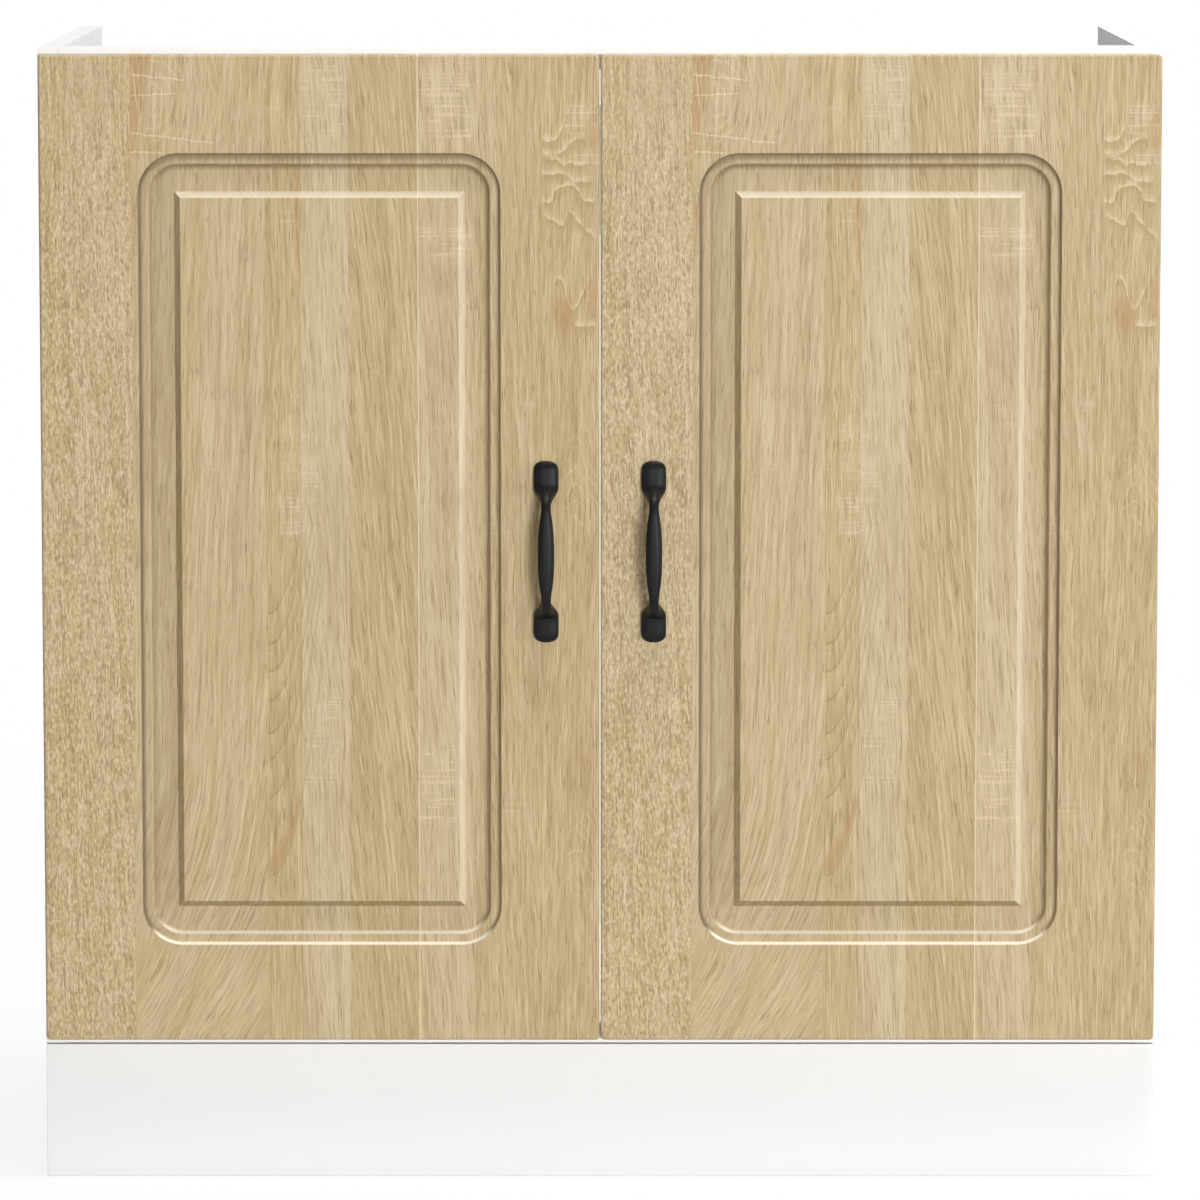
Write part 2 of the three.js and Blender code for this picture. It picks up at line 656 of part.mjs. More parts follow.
// A flat strap between two pins, bowed towards the cup's floor, with an eye at each end.
// The eye at the cup may be slotted along the strap.
function hingeLink(side, armPin, cupPin, bow, bossRadius, up, slot) {
  const start = new THREE.Vector2(...cupPin);
  const end = new THREE.Vector2(...armPin);
  const length = start.distanceTo(end);
  const along = end.clone().sub(start).normalize();
  const down = new THREE.Vector2(along.y, -along.x);
  const place = (s, t) => {
    const spot = start.clone().addScaledVector(along, s).addScaledVector(down, t);
    return hingePlan(side, [spot.x, spot.y]);
  };
  const bowAt = (s) => bow * (1 - ((2 * s) / length - 1) ** 2);
  const strap = new THREE.Shape();
  const steps = linkBowSteps;
  const outline = [];
  for (let i = 0; i <= steps; i += 1) outline.push([(length * i) / steps, linkHalfWidth]);
  for (let i = steps; i >= 0; i -= 1) outline.push([(length * i) / steps, -linkHalfWidth]);
  outline.forEach(([s, t], i) => {
    const spot = place(s, bowAt(s) + t);
    if (i === 0) strap.moveTo(spot.x, spot.y);
    else strap.lineTo(spot.x, spot.y);
  });
  strap.closePath();
  const near = up * linkSpacing;
  const far = up * (linkSpacing + linkThickness);
  const z0 = Math.min(near, far);
  const z1 = Math.max(near, far);
  let solid = slab(strap, z0, z1);
  const armEye = place(length, 0);
  solid = solid.add(rod('z', bossRadius, z0, z1, armEye.x, armEye.y, 12));
  const stadium = (radius, inward, outward, steps2) => {
    const shape = new THREE.Shape();
    for (let i = 0; i <= steps2; i += 1) {
      const angle = -Math.PI / 2 + (Math.PI * i) / steps2;
      const spot = place(inward + radius * Math.cos(angle), radius * Math.sin(angle));
      if (i === 0) shape.moveTo(spot.x, spot.y);
      else shape.lineTo(spot.x, spot.y);
    }
    for (let i = 0; i <= steps2; i += 1) {
      const angle = Math.PI / 2 + (Math.PI * i) / steps2;
      const spot = place(-outward + radius * Math.cos(angle), radius * Math.sin(angle));
      shape.lineTo(spot.x, spot.y);
    }
    shape.closePath();
    return shape;
  };
  const eyeRadius = hingePinRadius + pinPlay + slot.side;
  const eyeBoss = Math.max(bossRadius, eyeRadius + 1.1);
  solid = solid.add(slab(stadium(eyeBoss, slot.inward, slot.outward, 6), z0, z1));
  solid = solid.subtract(slab(stadium(eyeRadius, slot.inward, slot.outward, 6), z0 - 1, z1 + 1));
  return solid.subtract(rod('z', hingePinRadius + pinPlay, z0 - 1, z1 + 1, armEye.x, armEye.y, 12));
}

function carrierLink(side) {
  const round = { inward: 0, outward: 0, side: 0 };
  return hingeLink(side, carrierArmPin, carrierCupPin, carrierBow, carrierBossRadius, 1, round);
}

function guideLink(side) {
  const slot = { inward: guideSlotInward, outward: guideSlotOutward, side: guideSlotSide };
  return hingeLink(side, guideArmPin, guideCupPin, guideBow, guideBossRadius, -1, slot);
}

function cupScrew(side, end) {
  const x = hingeX(side, cupCentreU + cupScrewOffsetU);
  const z = end * cupScrewSpacing / 2;
  const top = doorBackY + flangeThickness;
  const shank = rod('y', cupScrewRadius, doorBackY - cupScrewLength, top, x, z, 8);
  const head = rod('y', cupScrewHeadRadius, top, top + cupScrewHeadHeight, x, z, 12);
  return shank.add(head).subtract(crossRecess('y', top + 3, top + 0.8, x, z, 2));
}

// ---------------------------------------------------------------- the cabinet
function addCarcass(group) {
  group.add(pieceOf('side_panel_left', sidePanel(sides.left), whiteBoard()));
  group.add(pieceOf('side_panel_right', sidePanel(sides.right), whiteBoard()));
  group.add(pieceOf('bottom_panel', bottomPanel(), whiteBoard()));
  group.add(pieceOf('front_rail', frontRail(), whiteBoard()));
  group.add(pieceOf('rear_rail', rearRail(), whiteBoard()));
  group.add(pieceOf('plinth_board', plinthBoard(), whiteBoard()));
  for (const [name, side] of Object.entries(sides)) {
    group.add(pieceOf(`plinth_bracket_${name}`, plinthBracket(side), zinc()));
    for (const place of confirmatPlaces()) {
      const screwName = `confirmat_${place.board}_${place.spot}_${name}`;
      group.add(pieceOf(screwName, confirmatScrew(side, place), zinc()));
    }
  }
}

function addHinge(group, name, side, level) {
  const z = hingeHeights[level];
  const label = `${name}_${level}`;
  group.add(pieceOf(`hinge_plate_${label}`, hingePlate(side), nickel(), z));
  group.add(pieceOf(`hinge_arm_${label}`, hingeArm(side), nickel(), z));
  group.add(pieceOf(`hinge_carrier_link_${label}`, carrierLink(side), nickel(), z));
  group.add(pieceOf(`hinge_guide_link_${label}`, guideLink(side), nickel(), z));
  group.add(pieceOf(`hinge_cup_${label}`, hingeCup(side), nickel(), z));
  group.add(pieceOf(`cup_screw_${label}_a`, cupScrew(side, -1), nickel(), z));
  group.add(pieceOf(`cup_screw_${label}_b`, cupScrew(side, 1), nickel(), z));
}

function addDoor(group, name, side) {
  group.add(pieceOf(`door_${name}`, door(side), oakFoil()));
  group.add(pieceOf(`handle_${name}`, handle(side), blackMetal()));
  group.add(pieceOf(`handle_screw_${name}_lower`, handleScrew(side, -1), zinc()));
  group.add(pieceOf(`handle_screw_${name}_upper`, handleScrew(side, 1), zinc()));
  group.add(pieceOf(`bumper_${name}_upper`, bumper(side, doorTopZ - bumperTopDrop), clearRubber()));
  group.add(pieceOf(`bumper_${name}_lower`, bumper(side, doorFootZ + bumperFootRise), clearRubber()));
}

const cabinet = new THREE.Group();
addCarcass(cabinet);
for (const [name, side] of Object.entries(sides)) {
  addDoor(cabinet, name, side);
  for (const level of Object.keys(hingeHeights)) addHinge(cabinet, name, side, level);
}

export default cabinet;
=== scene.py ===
import json
import math
from types import SimpleNamespace

import bmesh
import bpy
from mathutils import Matrix, Vector

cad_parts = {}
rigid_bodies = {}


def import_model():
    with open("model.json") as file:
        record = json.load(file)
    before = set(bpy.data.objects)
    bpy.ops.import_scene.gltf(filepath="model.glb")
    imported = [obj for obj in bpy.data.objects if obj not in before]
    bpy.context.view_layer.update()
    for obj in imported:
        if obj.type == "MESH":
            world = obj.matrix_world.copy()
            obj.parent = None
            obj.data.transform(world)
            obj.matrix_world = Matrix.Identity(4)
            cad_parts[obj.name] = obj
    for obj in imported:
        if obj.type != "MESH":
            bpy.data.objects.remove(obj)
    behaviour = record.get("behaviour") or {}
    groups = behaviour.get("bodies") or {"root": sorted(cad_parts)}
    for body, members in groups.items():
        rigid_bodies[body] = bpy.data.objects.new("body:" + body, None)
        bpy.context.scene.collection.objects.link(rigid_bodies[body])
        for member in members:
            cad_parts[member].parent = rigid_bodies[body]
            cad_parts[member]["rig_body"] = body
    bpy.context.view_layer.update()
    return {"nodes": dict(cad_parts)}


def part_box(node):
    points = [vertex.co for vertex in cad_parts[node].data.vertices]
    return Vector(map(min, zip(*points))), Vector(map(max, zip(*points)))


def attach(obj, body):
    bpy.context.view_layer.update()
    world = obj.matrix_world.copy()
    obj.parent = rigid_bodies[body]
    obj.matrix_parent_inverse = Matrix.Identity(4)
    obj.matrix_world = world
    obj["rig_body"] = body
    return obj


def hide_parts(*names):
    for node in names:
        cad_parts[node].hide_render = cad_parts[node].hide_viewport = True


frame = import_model()
mm = 0.001
nearly = 0.1 * mm               # how close to an outer face counts as on it
white = (1, 1, 1, 1)
scene = bpy.context.scene
sides = {"left": -1, "right": 1}
levels = ("upper", "lower")
print("frame loaded:", len(frame["nodes"]), "nodes")


# nodes of a shader tree, and the sums made with them

def addNode(tree, kind, values=None, **settings):
    node = tree.nodes.new(kind)
    for key, value in settings.items():
        setattr(node, key, value)
    for key, value in (values or {}).items():
        if isinstance(value, bpy.types.NodeSocket):
            tree.links.new(value, node.inputs[key])
        else:
            node.inputs[key].default_value = value
    return node


def calc(tree, operation, a, b=0.0, c=None, clamp=False):
    values = {0: a, 1: b} if c is None else {0: a, 1: b, 2: c}
    return addNode(tree, "ShaderNodeMath", values, operation=operation, use_clamp=clamp).outputs[0]


def plus(tree, a, b):
    return calc(tree, "ADD", a, b)


def minus(tree, a, b):
    return calc(tree, "SUBTRACT", a, b)


def times(tree, first, *others):
    for other in others:
        first = calc(tree, "MULTIPLY", first, other)
    return first


def largest(tree, first, *others):
    for other in others:
        first = calc(tree, "MAXIMUM", first, other)
    return first


def timesPlus(tree, a, b, c):
    return calc(tree, "MULTIPLY_ADD", a, b, c)


def vectorCalc(tree, operation, a, b=(0, 0, 0)):
    node = addNode(tree, "ShaderNodeVectorMath", {0: a, 1: b}, operation=operation)
    return node.outputs["Value" if operation in ("LENGTH", "DOT_PRODUCT") else "Vector"]


def scaled(tree, vector, x, y, z):
    return vectorCalc(tree, "MULTIPLY", vector, (x, y, z))


def inMillimetres(tree, vector):
    return scaled(tree, vector, 1 / mm, 1 / mm, 1 / mm)


def noise(tree, vector, scale=1.0, detail=2.0, roughness=0.5):
    return addNode(tree, "ShaderNodeTexNoise", {
        "Vector": vector, "Scale": scale, "Detail": detail, "Roughness": roughness,
    }).outputs["Fac"]


def band(tree, value, low, high, outLow=0.0, outHigh=1.0, smooth=True):
    kind = "SMOOTHSTEP" if smooth else "LINEAR"
    return addNode(tree, "ShaderNodeMapRange", {
        "Value": value, "From Min": low, "From Max": high, "To Min": outLow, "To Max": outHigh,
    }, interpolation_type=kind).outputs["Result"]


def window(tree, value, low, high, soft):
    # 1 between low and high, fading over soft on either side
    rise = band(tree, value, low - soft, low + soft)
    fall = band(tree, value, high - soft, high + soft, 1.0, 0.0)
    return times(tree, rise, fall)


def blendColour(tree, factor, a, b):
    values = {0: factor, 6: a, 7: b}        # the colour sockets of the mix node
    return addNode(tree, "ShaderNodeMix", values, data_type="RGBA", clamp_factor=True).outputs[2]


def ramp(tree, factor, stops, interpolation="LINEAR"):
    node = addNode(tree, "ShaderNodeValToRGB", {"Fac": factor})
    node.color_ramp.interpolation = interpolation
    elements = node.color_ramp.elements
    while len(elements) < len(stops):
        elements.new(0.5)
    for element, (place, colour) in zip(elements, stops):
        element.position = place
        element.color = colour
    return node.outputs["Color"]


def contour(tree, value, points):
    # the second number of each point as a smooth function of the first
    left, right = points[0][0], points[-1][0]
    low, high = min(p[1] for p in points), max(p[1] for p in points)
    node = addNode(tree, "ShaderNodeFloatCurve", {"Value": band(tree, value, left, right, smooth=False)})
    curve = node.mapping.curves[0]
    while len(curve.points) < len(points):
        curve.points.new(0.5, 0.5)
    for point, (x, y) in zip(curve.points, points):
        point.location = ((x - left) / (right - left), (y - low) / (high - low))
    node.mapping.update()
    return timesPlus(tree, node.outputs[0], high - low, low)


def srgb(r, g, b):
    def linear(v):
        v /= 255
        return v / 12.92 if v <= 0.04045 else ((v + 0.055) / 1.055) ** 2.4
    return (linear(r), linear(g), linear(b), 1.0)


def newGroup(name, inputs, outputs):
    tree = bpy.data.node_groups.new(name, "ShaderNodeTree")
    for label, kind, default in inputs:
        socket = tree.interface.new_socket(name=label, in_out="INPUT", socket_type=kind)
        if default is not None:
            socket.default_value = default
    for label, kind in outputs:
        tree.interface.new_socket(name=label, in_out="OUTPUT", socket_type=kind)
    return tree, addNode(tree, "NodeGroupInput"), addNode(tree, "NodeGroupOutput")


def finishGroup(tree, result, colour, roughness, height):
    for key, value in (("Color", colour), ("Roughness", roughness), ("Height", height)):
        tree.links.new(value, result.inputs[key])
    return tree


def newMaterial(name):
    material = bpy.data.materials.new(name)
    material.use_nodes = True
    tree = material.node_tree
    shader = next(n for n in tree.nodes if n.type == "BSDF_PRINCIPLED")
    place = addNode(tree, "ShaderNodeTexCoord").outputs["Object"]
    return material, tree, shader, place


def wire(tree, shader, colour, roughness, height, strength, distance):
    bump = addNode(tree, "ShaderNodeBump", {"Height": height, "Strength": strength, "Distance": distance})
    tree.links.new(colour, shader.inputs["Base Color"])
    tree.links.new(roughness, shader.inputs["Roughness"])
    tree.links.new(bump.outputs["Normal"], shader.inputs["Normal"])


floatKind, vectorKind, colourKind = "NodeSocketFloat", "NodeSocketVector", "NodeSocketColor"
detailOutputs = [("Color", colourKind), ("Roughness", floatKind), ("Height", floatKind)]


# the print of the oak foil, with painted shade and highlight on the routed frame and the panel's slopes;
# lengths are millimetres from the door's top left corner. A fade is where it starts, where it is full, and
# the values there; a window is its two edges and how softly it ends

oak = {
    "width": 398.1,             # the print repeats on each door
    "height": 708.0,
    "colours": {
        "pale": (228, 208, 170), "golden": (180, 155, 106), "dark": (150, 125, 81),
        "pore": (132, 107, 66), "heart": (184, 142, 92), "saw": (226, 204, 172),
        "flame": (222, 200, 162), "wave": (226, 206, 170), "knot": (222, 200, 158),
        "scratch": (232, 212, 176), "joint": (240, 222, 186), "seam": (150, 124, 80),
        # the last two are painted shade and painted highlight, laid on the frame's steps and the panel's
        # slopes
        "groove": (166, 144, 112), "paintedShade": (72, 54, 30), "lit": (252, 246, 228),
    },
    # each printed plank: its left edge, tone, lean of the grain, strength of its flecks
    "planks": (
        (0.0, (199, 176, 134), 0.03, 1.0), (64.9, (202, 180, 139), -0.04, 0.12),
        (159.9, (196, 172, 126), 0.0, 0.05), (185.0, (207, 186, 149), 0.05, 0.05),
        (218.0, (196, 172, 127), 0.09, 0.1), (268.9, (204, 182, 143), 0.05, 0.05),
        (308.5, (200, 177, 135), 0.02, 0.08), (356.5, (196, 172, 126), -0.02, 0.05),
    ),
    "plankShift": (0.13, 3000, 900),        # share per plank, and what a whole share moves the patterns by
    "fleckFade": (0, 130, 0.55, 1.0),       # fainter flecks near the top
    # light or dark lines between planks: window, strength, colour
    "joints": (
        ((268.6, 269.4, 0.25), 0.7, "joint"), ((184.6, 185.2, 0.3), 0.4, "seam"),
        ((356.2, 356.7, 0.3), 0.4, "seam"),
    ),
    # the random patterns: width and length of their patches, detail, roughness
    "patterns": {
        "sway": (40, 150, 2, 0.5), "flutter": (7, 20, 2, 0.5),
        "wander": (15, 30, 3, 0.6), "broad": (22, 300, 2, 0.5),
        "streak": (3.6, 140, 2, 0.6), "line": (1.02, 32, 1.5, 0.6),
        "dash": (0.95, 14, 1, 0.5), "fleck": (1.2, 3.6, 1.5, 0.5),
        "thread": (60, 1.6, 1, 0.5), "combed": (1.2, 40, 1, 0.5),
        "stray": (26, 40, 1, 0.5), "uneven": (18, 11, 2, 0.5),
        "flame": (40, 90, 1, 0.5), "broken": (5, 4, 2, 0.5),
    },
    "sway": 10,                 # how far the grain wanders sideways, broadly and finely
    "flutter": 2,
    "droop": (490, 0.0013),     # the second plank's grain leans over below this, by this times the square
    # the grain over the planks' tone: pattern, fade, colour
    "grain": (
        ("broad", (0.36, 0.66, 0.0, 0.36), "golden"), ("streak", (0.5, 0.74, 0.0, 0.32), "pale"),
        ("streak", (0.5, 0.28, 0.0, 0.3), "dark"), ("line", (0.52, 0.7, 0.0, 0.5), "pale"),
        ("line", (0.48, 0.3, 0.0, 0.46), "dark"),
    ),
    "pores": {"fade": (0.6, 0.7), "strength": 0.42},
    "flecks": {"pale": (0.53, 0.68), "paleStrength": 0.66, "dark": (0.46, 0.32), "darkStrength": 0.6},
    # saw marks: fine pale threads across the grain, woven with pale lines along it
    "saw": {
        # left, right, top and foot of each patch
        "patches": (
            (185.5, 217.5, 4, 60), (269.5, 308, 5, 64), (270, 307, 121, 146), (170, 199, 254, 345),
            (269.5, 300, 494, 551), (188, 212, 455, 520), (372, 397, 34, 78),
        ),
        "soft": 2.2, "sideways": 9,
        "thread": (0.52, 0.62, 0.0, 0.8),
        "combed": (0.4, 0.62, 0.0, 0.55),
        "stray": (0.6, 0.7, 0.0, 0.35),
        "uneven": (0.36, 0.6, 0.15, 1.0),
        "strength": 0.8,
    },
    # flames in the last plank: pale bows one above the other
    "flames": {
        "middle": 381, "power": 1.5,
        "spacing": 12, "bow": 26,
        "wander": 3.4,
        "across": (357, 397, 0.5), "down": (190, 240),
        "patches": (0.48, 0.64, 0.0, 0.55),
        "pale": (0.04, 0.24, 0.03), "paleStrength": 0.6,
        "golden": (0.26, 0.34, 0.03), "goldenStrength": 0.4,
    },
    # light wavy lines drawn across the last plank, pale above and golden below
    "waves": {
        "lines": (
            ((357.2, 60.4), (366.8, 59.3), (370.9, 53.5), (374.3, 42.5)),
            ((357.2, 69.9), (364.0, 71.3), (373.6, 66.5), (385.9, 59.3), (389.0, 64.0)),
            ((357.2, 74.1), (366.8, 73.8), (372.2, 77.9), (377.7, 76.1), (381.8, 78.4), (391.0, 75.0)),
            ((357.2, 85.6), (373.6, 85.3), (381.8, 90.8), (394.1, 85.0)),
            ((357.2, 104.9), (362.7, 104.5), (366.8, 97.4), (375.0, 93.3), (383.2, 97.4), (388.7, 104.9),
             (395.5, 102.6)),
            ((358.6, 115.2), (365.4, 117.6), (372.2, 120.9), (376.3, 111.8), (381.8, 116.6),
             (396.0, 132.0)),
            ((365.4, 170.7), (369.5, 159.7), (379.1, 181.0), (384.6, 172.7), (390.0, 160.4)),
            ((380.4, 193.3), (388.0, 192.6), (396.9, 193.0)),
        ),
        "wander": 7, "flutter": 3,
        "lift": 3.5,            # takes back what the wander adds on average
        "ends": (0.6, 1.5, 1.6),            # how far inside its points a line starts and stops, how softly
        "golden": ((-0.2, 0.4), (9, 0.4)), "goldenStrength": 0.75,
        "pale": ((-6.5, -0.4), (0.3, -0.3)), "paleStrength": 0.66,
        "broken": (0.36, 0.58, 0.25, 1.0),
    },
    # rings round the knot at the top of the second plank
    "knot": {
        "place": (82, 32),
        "flatness": 0.6, "spacing": 5,
        "wander": 1.5,
        "across": (78, 128, 5), "down": (-20, 62, 5),
        "ring": (0.05, 0.3, 0.05), "strength": 0.4,
    },
    # dark arcs that sweep down to the left edge of the third plank, and where each ends
    "arcs": {
        "feet": (398, 421, 440, 462, 485, 503, 530, 588),
        "left": 160.8, "spread": 3.2,
        "sway": 14, "flutter": 5,
        "across": (161.2, 200, 1.0), "down": (330, 600, 30),
        "golden": ((0, 1.5), (16, 1.5)), "goldenStrength": 0.4,
        "line": (-0.8, 0.8, 0.9), "lineStrength": 0.6,
    },
    # orange-brown heartwood: a wedge at the top of the second plank, spots, and a tongue in the arcs
    "heartwood": {
        "spots": (
            (181, 184.5, 78, 170), (392, 398, 40, 66), (389, 397, 157, 186), (366, 380, 172, 196),
            (74, 81, 61, 68), (87, 90, 600, 607), (65, 67.5, 56, 142), (382, 391, 496, 512),
        ),
        "soft": 2.0, "sideways": 11,
        "spotFade": (0.3, 0.6, 0.2, 1.0),
        "wedgeEdge": 76.0, "wedgeFall": -0.15,
        "wedgeWander": 7,
        "wedgeSoft": (0, 1.2), "wedgeDown": (98, 40),
        "tongueSweep": (572, 585, 5),
        "tongueAcross": (161, 190, 1.0), "tongueDown": (532, 590, 8),
        "tongueStrength": 0.9,
        "lineFade": (0.3, 0.7, 0.72, 0.45),
        "rimEdge": 66.5, "rimFall": 0.1,
        "rim": (-0.4, 0.4, 0.4), "rimDown": (8, 38, 5),
        "rimStrength": 0.7,
    },
    # light scratches that cross the grain: left, right, distance from the top, fall
    "scratches": {
        "lines": ((66, 104, 14, 0.10), (66, 98, 29, -0.06), (66, 124, 55.5, 0.12), (66, 88, 69, 0.02)),
        "flutter": 3,
        "width": (-0.5, 0.5, 0.5),
        "ends": 2,
        "lineFade": (0.35, 0.6, 0.4, 0.9),
    },
    "relief": {"line": 0.5, "flecks": 0.3, "pores": 0.4},
    "roughness": {"base": 0.56, "line": -0.16, "pores": 0.12},
    "sideMargin": 70.0,         # from the door's edges to the routed frame, and on to the panel
    "endMargin": 69.4,
    "frameRadius": 29.0,
    "panelSideInset": 25.4,
    "panelEndInset": 27.3,
    # painted shade on the frame's steps, painted highlight on the steps at its foot, and painted highlight
    # or shade on the panel's slopes. Lengths run inwards from the edge of the frame, or for the slope of
    # the panel, and strengths are for the left, right, top and foot
    "frame": {
        "corner": (-9, 9),
        "grey": {"across": (72, 96, 2.5), "fade": (0.5, 2.5, 0.0, 0.26)},   # across is from the door's left
        "outerStart": (-0.1, 0.6),
        "outerGone": (4.4, 7.2),            # the outer crease has gone here, at the sides and at the ends
        "outerFull": (1.5, 2.6),            # and is full here
        "outerPaintedShade": (0.72, 0.45, 0.5, 0.0),
        "innerStart": (7.2, 9.0),
        "innerEnd": (13.5, 9.8),
        "innerPaintedShade": (0.25, 0.45, 0.46, 0.0),
        "outerLine": (0.3, 2.0, 0.4),
        "outerLit": (0.0, 0.0, 0.0, 0.85),
        "innerLine": (7.8, 9.8, 0.5),
        "innerLit": (0.0, 0.0, 0.0, 0.6),
        "slope": (0.3, 4.7, 0.3),
        "slopeLit": (0.0, 0.30, 0.46, 0.0),
        "slopeDim": (0.16, 0.0, 0.0, 0.34),
    },
}


def paint(wood, mask, colourName, strength=None):
    # lays one of the oak colours, print or painted shade and highlight, over what is drawn so far
    if strength is not None:
        mask = times(wood.tree, mask, strength)
    wood.colour = blendColour(wood.tree, mask, wood.colour, srgb(*oak["colours"][colourName]))


def pattern(tree, place, name):
    across, along, detail, roughness = oak["patterns"][name]
    return noise(tree, scaled(tree, place, 1 / across, 1 / across, 1 / along), 1, detail, roughness)


def boxes(wood, entries, soft, sideways):
    # where any of the boxes lies, with edges that wander
    tree = wood.tree
    x = timesPlus(tree, wood.flutter, sideways, wood.fromLeft)
    return largest(tree, *[
        times(tree, window(tree, x, left, right, soft), window(tree, wood.fromTop, top, foot, 3 * soft))
        for left, right, top, foot in entries])


def patch(wood, across, down):
    # a patch of the door with soft edges
    tree = wood.tree
    return times(tree, window(tree, wood.fromLeft, *across), window(tree, wood.fromTop, *down))


def startWood(tree, vector):
    # where a point lies on the door, in millimetres
    place = inMillimetres(tree, vector)
    axes = addNode(tree, "ShaderNodeSeparateXYZ", {0: place})
    across, up = axes.outputs["X"], axes.outputs["Z"]
    return SimpleNamespace(
        tree=tree, place=place, across=across, up=up, fromLeft=plus(tree, across, oak["width"] / 2),
        fromTop=minus(tree, oak["height"] / 2, up))


def layPlanks(wood):
    # each plank has its own tone, its own stretch of the patterns and its own lean
    tree, planks = wood.tree, oak["planks"]
    shareStep, shiftThrough, shiftAlong = oak["plankShift"]
    share = calc(tree, "DIVIDE", wood.fromLeft, oak["width"])
    places = [plank[0] / oak["width"] for plank in planks]
    tones = [(place, srgb(*plank[1])) for place, plank in zip(places, planks)]
    traits = [(place, (n * shareStep % 1, 0.5 + plank[2], plank[3], 1))
              for n, (place, plank) in enumerate(zip(places, planks))]
    wood.colour = ramp(tree, share, tones, "CONSTANT")
    trait = addNode(tree, "ShaderNodeSeparateXYZ", {0: ramp(tree, share, traits, "CONSTANT")})
    wood.lean = times(tree, minus(tree, trait.outputs["Y"], 0.5), wood.up)
    wood.flecked = times(tree, trait.outputs["Z"], band(tree, wood.fromTop, *oak["fleckFade"]))
    stretch = trait.outputs["X"]
    shift = addNode(tree, "ShaderNodeCombineXYZ", {
        "Y": times(tree, stretch, shiftThrough), "Z": times(tree, stretch, shiftAlong)})
    wood.planted = vectorCalc(tree, "ADD", wood.place, shift.outputs[0])


def bendGrain(wood):
    # the grain wanders sideways as it climbs, and leans over at the foot of the second plank
    tree = wood.tree
    wood.sway = minus(tree, pattern(tree, wood.planted, "sway"), 0.5)
    wood.flutter = minus(tree, pattern(tree, wood.planted, "flutter"), 0.5)
    wood.wander = pattern(tree, wood.planted, "wander")
    droopFrom, droopRate = oak["droop"]
    lowDown = largest(tree, minus(tree, wood.fromTop, droopFrom), 0)
    inPlank = window(tree, wood.fromLeft, oak["planks"][1][0], oak["planks"][2][0], 0.2)
    droop = times(tree, times(tree, lowDown, lowDown), times(tree, inPlank, droopRate))
    fluttered = timesPlus(tree, wood.flutter, oak["flutter"], wood.lean)
    swayed = timesPlus(tree, wood.sway, oak["sway"], fluttered)
    shift = addNode(tree, "ShaderNodeCombineXYZ", {"X": plus(tree, droop, swayed)})
    wood.grainPlace = vectorCalc(tree, "ADD", wood.planted, shift.outputs[0])


def drawGrain(wood):
    tree, flecks = wood.tree, oak["flecks"]
    names = ("broad", "streak", "line", "dash", "fleck")
    drawn = {name: pattern(tree, wood.grainPlace, name) for name in names}
    for name, fade, colourName in oak["grain"]:
        paint(wood, band(tree, drawn[name], *fade), colourName)
    wood.line = drawn["line"]
    wood.pores = band(tree, drawn["dash"], *oak["pores"]["fade"])
    wood.fleckPale = times(tree, band(tree, drawn["fleck"], *flecks["pale"]), wood.flecked)
    wood.fleckDark = times(tree, band(tree, drawn["fleck"], *flecks["dark"]), wood.flecked)
    paint(wood, wood.fleckPale, "pale", flecks["paleStrength"])
    paint(wood, wood.fleckDark, "dark", flecks["darkStrength"])


def drawSawMarks(wood):
    tree, saw = wood.tree, oak["saw"]
    thread = band(tree, pattern(tree, wood.planted, "thread"), *saw["thread"])
    combed = band(tree, pattern(tree, wood.grainPlace, "combed"), *saw["combed"])
    stray = band(tree, pattern(tree, wood.planted, "stray"), *saw["stray"])
    uneven = band(tree, pattern(tree, wood.planted, "uneven"), *saw["uneven"])
    patches = largest(tree, boxes(wood, saw["patches"], saw["soft"], saw["sideways"]), stray)
    woven = largest(tree, thread, combed)
    paint(wood, times(tree, woven, times(tree, patches, uneven)), "saw", saw["strength"])


def drawFlames(wood):
    tree, flames = wood.tree, oak["flames"]
    fromMiddle = calc(tree, "ABSOLUTE", minus(tree, wood.fromLeft, flames["middle"]))
    bow = times(tree, calc(tree, "POWER", fromMiddle, flames["power"]), -1 / flames["bow"])
    climb = timesPlus(tree, wood.fromTop, 1 / flames["spacing"], bow)
    ring = calc(tree, "FRACT", timesPlus(tree, wood.wander, flames["wander"], climb))
    patches = band(tree, pattern(tree, wood.planted, "flame"), *flames["patches"])
    inPlank = window(tree, wood.fromLeft, *flames["across"])
    place = times(tree, inPlank, times(tree, band(tree, wood.fromTop, *flames["down"]), patches))
    pale = times(tree, window(tree, ring, *flames["pale"]), place)
    golden = times(tree, window(tree, ring, *flames["golden"]), place)
    paint(wood, pale, "flame", flames["paleStrength"])
    paint(wood, golden, "golden", flames["goldenStrength"])


def drawWaves(wood):
    tree, waves = wood.tree, oak["waves"]
    lifted = timesPlus(tree, wood.wander, waves["wander"], minus(tree, wood.fromTop, waves["lift"]))
    waved = timesPlus(tree, wood.flutter, waves["flutter"], lifted)
    broken = band(tree, pattern(tree, wood.planted, "broken"), *waves["broken"])
    startIn, stopIn, soft = waves["ends"]
    for points in waves["lines"]:
        below = minus(tree, waved, contour(tree, wood.fromLeft, points))
        reach = window(tree, wood.fromLeft, points[0][0] + startIn, points[-1][0] - stopIn, soft)
        golden = times(tree, *[band(tree, below, *fade) for fade in waves["golden"]])
        pale = times(tree, *[band(tree, below, *fade) for fade in waves["pale"]], broken)
        paint(wood, times(tree, golden, reach), "golden", waves["goldenStrength"])
        paint(wood, times(tree, pale, reach), "wave", waves["paleStrength"])


